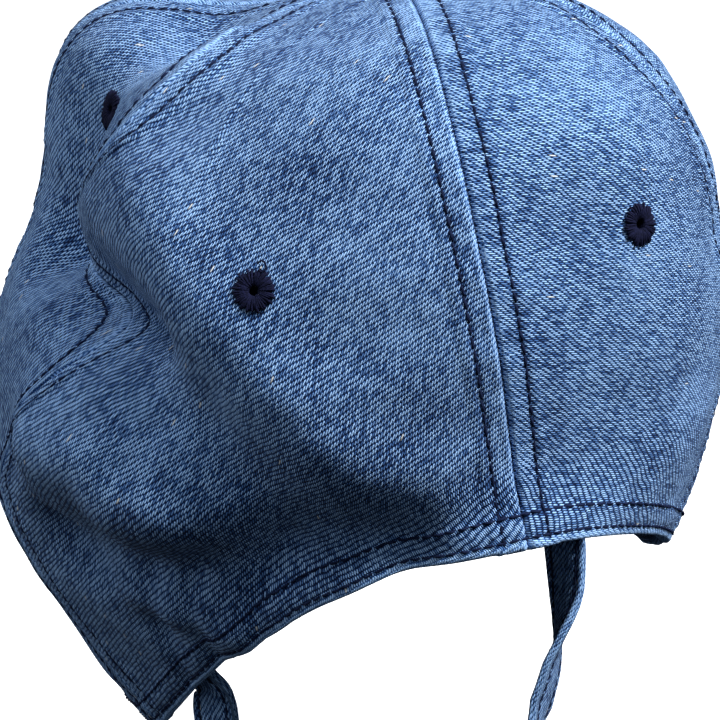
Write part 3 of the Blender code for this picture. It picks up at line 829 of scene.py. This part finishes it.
def seam_stitches(seam):
    rows = []
    angle = seam_bearings(seam)
    plain_level = row_level(angle, ROW_NUMBERS)
    offset = ROW_OFFSET * crowding(plain_level)
    for side, sign in ((0, -1), (1, 1)):
        turned = angle + sign * offset / run_per_turn(angle, plain_level)
        level = row_level(turned, ROW_NUMBERS)
        seed = seam_seed(seam, side)
        path = cloth(turned, level, offset, seed)
        keep = level < STITCH_TOP
        rows.append(stitch_row(path[keep], base_normal(turned, level)[keep], seed + 4))
    make_topstitch(seam, rows)


def nearest_seam(angle, level):
    """Distance to the nearest seam and that seam's seed."""
    away = np.full(len(angle), 1.0)
    seeds = np.zeros(len(angle), int)
    for seam in SEAMS:
        turn = turn_between(angle, seam_angle(seam, level))
        distance = np.abs(turn) * run_per_turn(angle, level)
        closer = distance < away
        away = np.where(closer, distance, away)
        seeds = np.where(closer, np.where(turn > 0, seam_seed(seam, 1), seam_seed(seam, 0)), seeds)
    return away, seeds


def hem_stitches():
    rows = []
    angle = np.radians(np.arange(0, 360.5, 0.6))
    for k, row in enumerate(HEM_ROWS):
        level = level_for(angle, np.full(len(angle), row))
        away, seeds = nearest_seam(angle, level)
        path = np.zeros((len(angle), 3))
        for seed in np.unique(seeds):
            pick = seeds == seed
            path[pick] = cloth(angle[pick], level[pick], away[pick], int(seed))
        rows.append(stitch_row(path, base_normal(angle, level), 40 + k))
    make_topstitch("hem", rows)


# ---- worked eyelets ----

def cloth_frame(angle, level):
    """Centre, right, up and outward directions of the cloth at one place."""
    step = 0.0015
    turn, lift = step / float(run_per_turn(angle, level)), step / 0.09
    right = cloth(angle + turn, level) - cloth(angle - turn, level)
    out = unit(np.cross(right, cloth(angle, level + lift) - cloth(angle, level - lift)))
    right = unit(right)
    return cloth(angle, level), right, np.cross(out, right), out


def eyelet_place(name):
    """Bearing and level of a gore's eyelet, midway between its seams."""
    level = EYELET_LEVELS.get(name, EYELET_LEVEL)
    first, last = (float(seam_angle(seam, level)) for seam in PANELS[name])
    return (first + last + (TAU if last < first else 0)) / 2 + EYELET_ASIDE.get(name, 0), level


def build_eyelet(name, index):
    centre, right, up, out = cloth_frame(*eyelet_place(name))
    rng = np.random.default_rng(500 + index)
    parts = []
    share = np.linspace(0, 1, 8)
    arch = 0.00010 + 0.00042 * np.sin(share * math.pi) ** 0.7
    size = np.full((STRANDS, 8), 0.00023) * (0.55 + 0.45 * share)
    for depth, sign in ((0.0, 1), (-CLOTH, -1)):
        turn = np.arange(STRANDS) * TAU / STRANDS + rng.uniform(-0.03, 0.03, STRANDS)
        reach = EYELET_RADIUS + rng.uniform(-0.00040, 0.00030, STRANDS)
        start = EYELET_HOLE + rng.uniform(0.0, 0.0002, STRANDS)
        radius = start[:, None] + (reach - start)[:, None] * share
        lift = arch * rng.uniform(0.85, 1.15, (STRANDS, 1))
        bent = turn[:, None] + 0.10 * share * rng.uniform(-1, 1, (STRANDS, 1))
        flat = np.cos(bent)[..., None] * right + np.sin(bent)[..., None] * up
        points = centre + radius[..., None] * flat + out * (depth + sign * lift)[..., None]
        parts.append(tubes(points, np.broadcast_to(out, points.shape), size))
    parts.append(eyelet_core(centre, right, up, out))
    if name == "back_left":
        parts.append(thread_tail(centre, right, up, out))
    make_piece("worked_eyelet_" + name, join(parts), SATIN, ["eyelet_" + name])


def eyelet_core(centre, right, up, out):
    """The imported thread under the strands, a ring through the cloth."""
    inner, outer, high = EYELET_HOLE + 0.0001, EYELET_RADIUS - 0.0005, 0.00028
    section = [(inner, -CLOTH - high * 0.5), (outer, -CLOTH - high), (outer, high * 0.4)]
    section += [(outer * 0.6, high), (inner, high * 0.5)]
    return spun(section, centre, right, up, out, 36, closed=True)


def thread_tail(centre, right, up, out):
    """A loop of loose thread at the upper edge of one eyelet."""
    turn = np.linspace(-0.3, 1.35, 22)[:, None] * math.pi
    across = 0.0016 + 0.0007 * np.sin(turn)
    height = 0.0030 + 0.0012 * (1 - np.cos(turn)) * 0.75
    lift = 0.0005 + 0.0004 * np.sin(turn * 0.5) ** 2
    path = (centre + across * right + height * up + lift * out)[None]
    return tubes(path, np.broadcast_to(out, path.shape), np.full((1, 22), 0.00016))


# ---- inside the crown ----

TAPE_WIDTH = 0.012
TAPE_GAP = 0.0008
BAND_ROOM = 0.0013


def lining_piece(name, node, angle, level, depth, thickness, look, ring=False):
    """A strip of cloth inside the crown, this deep under its plain face; grids are [column, row]."""
    plain, normal = base(angle, level), base_normal(angle, level)
    height = fold_height(plain)
    layers = [plain + normal * (height - d)[..., None] for d in (depth, depth + thickness)]
    uv = np.stack([angle * HEM_RADIUS, hem_distance(angle, level)], -1) * 1000
    faces = shell_faces(*angle.shape, ring=ring)
    return make_piece(name, (np.stack(layers), faces), look, [node], uv=np.stack([uv, uv]))


def build_inside():
    angle = np.radians(np.arange(0, 360, 2.0))
    heights = np.linspace(0.0016, 0.0200, 9)
    levels = np.stack([level_for(angle, np.full(len(angle), h)) for h in heights], 1)
    angles = np.broadcast_to(angle[:, None], levels.shape)
    depth = CLOTH + BAND_ROOM
    band = lining_piece("sweatband_inside", "sweatband", angles, levels, depth, 0.0008, LINING, ring=True)
    for seam in SEAMS:
        along = np.arange(0.0205, 0.165, 0.003)
        level = level_for(np.full(len(along), float(seam_angle(seam, 0))), along)
        level = level[level < 0.95]
        angle = seam_angle(seam, level)
        reach = TAPE_WIDTH / 2 * crowding(level) / run_per_turn(angle, level)
        angles = angle + np.array((-1, -0.6, -0.2, 0.2, 0.6, 1.0))[:, None] * reach
        levels = np.broadcast_to(level, angles.shape)
        name = "seam_tape_" + seam
        tape = lining_piece(name + "_woven", name, angles, levels, CLOTH + TAPE_GAP, 0.0005, TAPE)


# ---- top button ----

BUTTON_RADIUS = 0.0070
BUTTON_LIFT = 0.0004


def build_button():
    """A domed disc covered with cloth, gathered a little at its rim."""
    rings = [(0.90, 0.0002), (0.97, 0.0004), (1.0, 0.0010), (0.985, 0.0016)]
    rings += [(math.sin(t), 0.0012 + 0.0028 * math.cos(t)) for t in np.radians(np.linspace(72, 6, 12))]
    share, height = np.array(rings).T
    turns = (np.arange(72) * TAU / 72)[:, None]
    gather = 1 + 0.022 * np.cos(turns * 15) * smooth((share - 0.55) / 0.4)
    radius = BUTTON_RADIUS * share * gather
    rise = height + 0.00010 * random_line(turns * 3, 1.3, 81)
    points = np.stack([radius * np.cos(turns), radius * np.sin(turns), rise], -1)
    first = np.arange(72) * len(rings)
    faces = grid_faces(72, len(rings), ring=True).tolist()
    faces += [first[::-1].tolist(), (first + len(rings) - 1).tolist()]
    rim = np.tile(0.5 * np.exp(-(np.arange(len(rings)) - 3) ** 2 / 3), 72)
    apex = np.array([TOP_LEAN_X, TOP_LEAN_Y, CROWN_HEIGHT + BUTTON_LIFT])
    uv = points[..., :2] * 1000 + 400
    make_piece("button_covered", (points + apex, faces), DENIM, ["top_button_shell"], uv=uv, wear_and_shade=rim)


# ---- visor ----

VISOR_ROOT_TURN = math.radians(57)
VISOR_REACH = 0.049
VISOR_SIDE_DRAW = 0.0170
VISOR_DROOP = 0.24
VISOR_ARCH = 2.6
VISOR_ROOT_GAP = 0.0006
VISOR_DEPTH = 0.0046
VISOR_CLOTH = 0.0010
VISOR_ROWS = (0.93, 0.80, 0.67, 0.54, 0.41, 0.28)
VISOR_TRIM = 0.012
VISOR_TUCK = ((0.0046, 0.0016), (0.0034, 0.0009), (0.0018, 0.0002))
VISOR_COLUMNS = 110
# The share of the reach where the rounded edge begins.
VISOR_FLAT = 0.965
VISOR_BEND = "crown", "visor", (0, 0.080, 0), (0, 0.104, 0)
DOWN = np.array([0.0, 0.0, -1.0])


def visor_sheet(share, reach):
    """The visor's upper face: share runs from the right end to the left end, reach from seam to edge."""
    angle = math.pi / 2 - VISOR_ROOT_TURN + 2 * VISOR_ROOT_TURN * share
    out = unit(np.stack([np.cos(angle) / HEM_WIDTH_SHARE, np.sin(angle), 0 * angle], -1))
    root = base(angle, -1.0) + out * VISOR_ROOT_GAP
    across = 2 * share - 1
    depth = VISOR_REACH * np.maximum(0, 1 - np.abs(across) ** 2.6) ** 0.62
    x = root[..., 0] - VISOR_SIDE_DRAW * across * (1 - np.abs(across) ** 6) * reach
    y = root[..., 1] + depth * reach
    z = root[..., 2] - VISOR_DROOP * depth * reach - VISOR_ARCH * (x * x - root[..., 0] ** 2)
    return np.stack([x, y, z], -1), depth


def level_outward(line):
    """The level direction that points away from the crown along an edge of the visor."""
    out = unit(np.cross(unit(np.gradient(line, axis=0)), np.array([0.0, 0.0, 1.0])))
    return out * np.sign(out[len(out) // 2, 1])


def visor_cover(name, node, sign, seed):
    """One cover, from the seam to the middle of the rounded edge; sign is 1 for the top and -1 for under."""
    share = np.linspace(VISOR_TRIM, 1 - VISOR_TRIM, VISOR_COLUMNS)
    half = VISOR_DEPTH / 2
    flat = np.concatenate([np.linspace(0.0, 0.97, 90), [0.99, 1.0]])
    turns = np.radians((18, 36, 54, 72, 88))
    edge = visor_sheet(share, VISOR_FLAT)[0]
    out = level_outward(visor_sheet(share, 1.0)[0])
    root = visor_sheet(share, 0.0)[0]
    root_out = level_outward(root)
    layers = []
    for layer in (0.0, VISOR_CLOTH):
        rows = []
        for tuck, rise in VISOR_TUCK:
            inward = tuck + (0.0012 if sign < 0 else 0.0)
            climb = rise * (3 if sign < 0 else 1)
            rows.append(root - root_out * inward + DOWN * (half - sign * (half - layer) - climb))
        for reach in flat:
            point, depth = visor_sheet(share, reach * VISOR_FLAT)
            dip = sum(0.00030 * hump(np.abs(reach - r) * depth, 0.0005) for r in VISOR_ROWS)
            puff = 0.00018 * random_line(share * 100, 2.3, seed + int(reach * 9))
            relief = (dip - puff) * (depth > 0.008)
            rows.append(point + DOWN * (half - sign * (half - layer - relief))[:, None])
        radius = half - layer
        for turn in turns:
            down = half - sign * radius * math.cos(turn)
            rows.append(edge + DOWN * down + out * radius * math.sin(turn))
        layers.append(np.stack(rows, 1))
    points = np.stack(layers)
    places = np.concatenate([np.zeros(len(VISOR_TUCK)), flat, np.ones(len(turns))])
    # Pale wear on the rounded edge; the darker lines along the stitch rows are painted shade.
    wear_and_shade = 0.9 * hump(places - 1.0, 0.035) - sum(0.35 * hump(places - r, 0.012) for r in VISOR_ROWS)
    shape = points, shell_faces(*points.shape[1:3], flip=sign > 0)
    uv = points[..., :2] * 1000 + 700 + 60 * sign
    wear_and_shade = np.tile(wear_and_shade, 2 * VISOR_COLUMNS)
    made = make_piece(name, shape, DENIM, [node], bend=VISOR_BEND, uv=uv, wear_and_shade=wear_and_shade)


def build_visor():
    share = np.linspace(0.035, 0.965, 60)
    board = np.stack([visor_sheet(share, reach)[0] for reach in np.linspace(0.05, 0.935, 24)], 1)
    points = np.stack([board - np.array([0, 0, layer]) for layer in (0.0015, 0.0031)])
    shape = points, shell_faces(60, 24, flip=True)
    uv = points[..., :2] * 1000
    make_piece("visor_board_sheet", shape, BOARD, ["visor_board"], bend=VISOR_BEND, uv=uv)
    visor_cover("visor_cloth_top", "visor_top_cover", 1, 300)
    visor_cover("visor_cloth_under", "visor_under_cover", -1, 320)
    rows = []
    share = np.linspace(0.10, 0.90, 400)
    for k, reach in enumerate(VISOR_ROWS):
        point = visor_sheet(share, reach * VISOR_FLAT)[0]
        for sign, drop in ((1, 0.00012), (-1, VISOR_DEPTH - 0.00012)):
            up = np.tile([0.0, 0.0, float(sign)], (400, 1))
            rows.append(stitch_row(point + DOWN * drop, up, 340 + 2 * k + (sign > 0)))
    make_topstitch("visor", rows, bend=VISOR_BEND)


# ---- chin strap ----

STRAP_PLANE_TURN = math.radians(17.9)
STRAP_PLANE_Y = -0.0072
SEWN_END_LEFT = math.radians(196)
SEWN_END_RIGHT = math.radians(5.6)
STRAP_HALF = 0.00475
STRAP_THICK = 0.0021
STRAP_STITCH = 0.0031
STRAP_ROUTE = (
    (-0.0462, 0.0045), (-0.0468, -0.0085), (-0.0445, -0.0230), (-0.0380, -0.0370), (-0.0265, -0.0485),
    (-0.0115, -0.0550), (0.0045, -0.0550), (0.0190, -0.0480), (0.0300, -0.0355), (0.0390, -0.0220),
    (0.0455, -0.0080), (0.0475, 0.0075),
)
# Where along the route the right band is turned, and by how many degrees.
RIGHT_TWIST = (
    (0.64, 0), (0.70, 30), (0.77, 66), (0.82, 60), (0.86, 38), (0.92, -6), (0.97, -24), (1.0, -20),
)
ROUTE_STEP = 0.004
TAB_START = 0.50
TAB_END = 0.664
STUD_PLACE = 0.60
TAB_DROP = 0.0042
DROP_START = 0.40
SEAM_REACH = (0.0030, 0.0060, 0.0090, 0.0120, 0.0150)
ALONG = np.array([math.cos(STRAP_PLANE_TURN), math.sin(STRAP_PLANE_TURN), 0.0])
BROAD = np.array([-math.sin(STRAP_PLANE_TURN), math.cos(STRAP_PLANE_TURN), 0.0])


def route(share):
    """Places on the strap's smooth centre line."""
    stops = np.array(STRAP_ROUTE)
    spans = len(stops) - 1
    place = np.clip(share * spans, 0, spans - 1e-6)
    i = np.floor(place).astype(int)
    t = (place - i)[:, None]
    a, b, c, d = (stops[np.clip(i + k, 0, spans)] for k in (-1, 0, 1, 2))
    square, cube = 2 * a - 5 * b + 4 * c - d, 3 * b - a - 3 * c + d
    flat = 0.5 * (2 * b + (c - a) * t + square * t ** 2 + cube * t ** 3)
    return np.array([0, STRAP_PLANE_Y, 0]) + flat[:, :1] * ALONG + flat[:, 1:] * np.array([0.0, 0.0, 1.0])


def sewn_line(bearing):
    """The strap's end that climbs the crown's inner wall, from the hem upwards, and its broad direction."""
    angle = np.full(len(SEAM_REACH), bearing)
    level = level_for(angle, np.array(SEAM_REACH))
    place = base(angle, level) - base_normal(angle, level) * (CLOTH + 0.0035)
    return place, unit(base(angle + 0.02, level) - base(angle - 0.02, level))


def band(name, nodes, centre, broad, twist, seed, bend, held, round_first=False, round_last=False):
    """A folded strip along a line: rounded edges, a groove where its fold closes, and stitched rows."""
    steps = run_along(centre)
    count = max(12, int(steps[-1] / (0.0006)))
    place = np.linspace(0, steps[-1], count)
    centre, broad = spread(place, steps, centre), spread(place, steps, broad)
    twist = np.interp(place, steps, twist)
    for _ in range(3):
        centre[1:-1] = (centre[:-2] + 2 * centre[1:-1] + centre[2:]) / 4
    run = unit(np.gradient(centre, axis=0))
    broad = unit(broad - run * (broad * run).sum(-1, keepdims=True))
    out = np.cross(broad, run)
    turn = np.radians(twist)[:, None]
    broad, out = broad * np.cos(turn) + out * np.sin(turn), out * np.cos(turn) - broad * np.sin(turn)
    across = np.linspace(-0.90, 0.90, 15)
    edge = ((0.985, 0.62), (1.0, 0.28), (0.955, 0.0), (1.0, -0.28), (0.985, -0.62))
    section = np.array([(a, 1.0) for a in across] + list(edge))
    section = np.concatenate([section, -section])
    side, face = section.T
    reach = np.full(count, STRAP_HALF)
    for rounded, end in ((round_first, place), (round_last, steps[-1] - place)):
        if rounded:
            inside = np.clip(1 - end / STRAP_HALF, 0, 1)
            reach = np.minimum(reach, STRAP_HALF * np.sqrt(np.maximum(1 - inside ** 2, 0.03)))
    row = hump(np.abs(side) * STRAP_HALF - STRAP_STITCH, 0.0005) * (np.abs(face) > 0.9)
    ripple = 0.00010 * random_sheet(place[:, None], side * STRAP_HALF, 0.0028, seed)
    height = face * STRAP_THICK / 2 * (1 - 0.28 * row) + ripple
    points = centre[:, None] + broad[:, None] * (side * reach[:, None])[..., None]
    points = points + out[:, None] * height[..., None]
    size = len(section)
    first, j = np.arange(count - 1)[:, None] * size, np.arange(size)
    k = (j + 1) % size
    faces = np.stack([first + j, first + k, first + size + k, first + size + j], -1).reshape(-1, 4).tolist()
    faces += [j.tolist(), ((count - 1) * size + j)[::-1].tolist()]
    around = run_along(section * (STRAP_HALF, STRAP_THICK / 2)) * 1000
    uv = np.stack(np.broadcast_arrays(around + seed, place[:, None] * 1000), -1)
    # Pale wear on the edges; darker along the stitch rows and in the edge's groove is painted shade.
    wear_and_shade = np.where(np.abs(side) > 0.93, 0.55, 0.0) - 0.5 * row - 0.5 * (face == 0)
    wear_and_shade = wear_and_shade + 0.25 * random_line(place * 1000, 1.7, seed + 1)[:, None]
    made = make_piece("band_" + name, (points, faces), DENIM, nodes, bend=bend, uv=uv, wear_and_shade=wear_and_shade)
    rows = []
    keep = reach > STRAP_HALF * 0.92
    for sign in (-1, 1):
        for over in (-1, 1):
            path = centre + broad * (sign * STRAP_STITCH) + out * (over * STRAP_THICK * 0.38)
            rows.append(stitch_row(path[keep], (out * over)[keep], seed + 3 + sign + over))
    make_topstitch(name, rows, bend=bend)


def hung_band(side, bearing, centre, broad, twist, seed, **ends):
    """The left or the right band, which bends where it comes out of the hem at this bearing."""
    nodes = "chin_strap_" + side, "chin_strap_sewn_end_" + side
    hem = float(base(bearing, -1.0)[2])
    bend = "crown", "chin_strap", (0, 0, hem + 0.006), (0, 0, hem - 0.008)
    band(side, nodes, centre, broad, twist, seed, bend, "hung", **ends)


def route_frame(share):
    """The strap's direction and its outward face at these places of its route."""
    run = unit(route(share + ROUTE_STEP) - route(np.maximum(share - ROUTE_STEP, 0)))
    return run, np.cross(BROAD, run)


def build_strap():
    share = np.linspace(0.0, TAB_START - 0.012, 90)
    drop = TAB_DROP * smooth((share - DROP_START) / (TAB_START - DROP_START))
    wall, wall_broad = sewn_line(SEWN_END_LEFT)
    centre = np.concatenate([wall[::-1], (route(share) + route_frame(share)[1] * drop[:, None])[3:]])
    broad = np.concatenate([-wall_broad[::-1], np.tile(BROAD, (len(share) - 3, 1))])
    twist = 24 * smooth((0.34 - share) / 0.20) * smooth(share / 0.05)
    twist = np.concatenate([np.zeros(len(wall)), twist[3:]])
    hung_band("left", SEWN_END_LEFT, centre, broad, twist, 600)

    share = np.linspace(STUD_PLACE - 0.075, 1.0, 90)
    wall, wall_broad = sewn_line(SEWN_END_RIGHT)
    centre = np.concatenate([route(share)[:-3], wall])
    broad = np.concatenate([np.tile(BROAD, (len(share) - 3, 1)), wall_broad])
    twist = np.concatenate([np.interp(share, *zip(*RIGHT_TWIST))[:-3], np.zeros(len(wall))])
    hung_band("right", SEWN_END_RIGHT, centre, broad, twist, 620, round_first=True)

    share = np.linspace(TAB_START - 0.010, TAB_END + 0.027, 60)
    run, out = route_frame(share)
    centre = route(share) + out * TAB_DROP
    pivot = route(np.array([TAB_START]))[0] + out[10] * TAB_DROP
    half_fold = run[10] * 0.0015
    bend = "chin_strap", "strap_tab", tuple(pivot - half_fold), tuple(pivot + half_fold)
    broad = np.tile(BROAD, (60, 1))
    band("tab", ["chin_strap_tab"], centre, broad, np.zeros(60), 640, bend, "folded", round_last=True)


def turned(name, profile, centre, axis, body):
    """A turned metal piece: its profile is (radius, height over the strap's face) pairs."""
    side = unit(np.cross(axis, np.array([0.3, 0.5, 0.8])))
    face = STRAP_THICK / 2 + 0.0002
    profile = [(radius, face + height) for radius, height in profile]
    shape = spun(profile, centre, side, np.cross(axis, side), axis, 48)
    make_piece("stud_" + name, shape, METAL, ["press_stud_" + name], body)


def build_studs():
    place = route(np.array([STUD_PLACE]))
    out = route_frame(np.array([STUD_PLACE]))[1][0]
    place, lower = place[0], place[0] + out * TAB_DROP
    cap = [(0.0046, 0), (0.0050, 0.0003), (0.0050, 0.0006), (0.0047, 0.0009)]
    cap += [(0.0042, 0.0009), (0.0039, 0.0007), (0.0036, 0.0008)]
    cap += [(0.0036 * math.cos(t), 0.0008 + 0.0005 * math.sin(t)) for t in np.radians((20, 40, 60, 78))]
    turned("cap", cap, lower, out, "strap_tab")
    socket = [(0.0023, 0), (0.0041, 0), (0.0042, 0.0003), (0.0038, 0.0008), (0.0028, 0.0009)]
    turned("socket", socket + [(0.0023, 0.0006), (0.0023, 0)], lower, -out, "strap_tab")
    ball = [(0.0034, 0), (0.0034, 0.0003), (0.0020, 0.0006), (0.0017, 0.0008), (0.0018, 0.0012)]
    turned("ball", ball + [(0.0014, 0.0015), (0.0006, 0.0016)], place, out, "chin_strap")
    post = [(0.0038, 0), (0.0040, 0.0003), (0.0038, 0.0007), (0.0030, 0.0008)]
    turned("post", post + [(0.0026, 0.0006), (0.0010, 0.0006)], place, -out, "chin_strap")


# ---- stage ----

STAGE_REACH = 12.0


def build_stage():
    scene = bpy.context.scene
    scene.view_settings.view_transform = "Standard"
    glow = {"Emission_Color": (1.0, 1.0, 1.0), "Emission_Strength": 0.85}
    pale = Nodes("pale_floor").finish(Base_Color=(0.85, 0.85, 0.86), Roughness=0.9, **glow)
    z, far = float(cad_box[0][2]) - 0.003, STAGE_REACH
    corners = (-far, -far), (far, -far), (far, far), (-far, far)
    points = [(x, y, z) for x, y in corners] + [(x, y, z + far) for x, y in corners]
    walls = [(k, (k + 1) % 4, (k + 1) % 4 + 4, k + 4) for k in range(4)]
    for name, faces in (("floor", [(0, 1, 2, 3)]), ("backdrop", walls)):
        mesh = bpy.data.meshes.new(name)
        mesh.from_pydata(points, [], faces)
        mesh.materials.append(pale)
        screen = bpy.data.objects.new(name, mesh)
        scene.collection.objects.link(screen)
        screen.visible_diffuse = False
        screen.visible_glossy = False
        screen.visible_shadow = False
    n = Nodes("soft_daylight", "worlds")
    height = n.split(n.place("Generated"))[2]
    spans = {"From Min": -0.10, "From Max": 0.80, "To Min": 0.03, "To Max": 0.64}
    shade = n.node("ShaderNodeMapRange", {"Value": height, **spans})
    scene.world = n.finish("Background", Strength=shade, Color=(0.84, 0.92, 1.0))
    add_light("key", (1.02, -1.06, 1.20), 0.42, 53)
    add_light("top", (-0.55, -0.50, 1.60), 0.50, 6.5)
    add_light("rim", (-1.30, 0.70, 0.60), 0.50, 3)


def add_light(name, place, size, power):
    light = bpy.data.lights.new(name, "AREA")
    light.shape = "DISK"
    light.size = size
    light.energy = power
    holder = bpy.data.objects.new(name, light)
    bpy.context.scene.collection.objects.link(holder)
    holder.location = place
    aim = Vector((0, 0, 0.05)) - Vector(place)
    holder.rotation_euler = aim.to_track_quat("-Z", "Y").to_euler()


def build_camera():
    turn, drop, roll = math.radians(18.5), math.radians(13), math.radians(8.5)
    look = Vector((math.sin(turn) * math.cos(drop), math.cos(turn) * math.cos(drop), -math.sin(drop)))
    right = look.cross(Vector((0, 0, 1))).normalized()
    up = right.cross(look)
    x_axis = right * math.cos(roll) - up * math.sin(roll)
    y_axis = right * math.sin(roll) + up * math.cos(roll)
    place = Vector((0, 0, 0.0477)) - look * 0.450
    camera = bpy.data.cameras.new("camera")
    camera.sensor_width = 36
    camera.lens = 111.2
    camera.shift_x = 0.008
    camera.shift_y = 0.05
    camera.clip_start = 0.01
    holder = bpy.data.objects.new("camera", camera)
    bpy.context.scene.collection.objects.link(holder)
    matrix = Matrix((x_axis, y_axis, -look)).transposed().to_4x4()
    matrix.translation = place
    holder.matrix_world = matrix
    bpy.context.scene.camera = holder


build_camera()
build_stage()
for index, (name, (first, last)) in enumerate(PANELS.items()):
    build_gore(name, first, last, index)
    build_eyelet(name, index)
for seam in SEAMS:
    seam_stitches(seam)
hem_stitches()
build_inside()
build_button()
build_visor()
build_strap()
build_studs()
bpy.data.objects["top_button_tack"].data.materials.clear()
bpy.data.objects["top_button_tack"].data.materials.append(METAL[0])
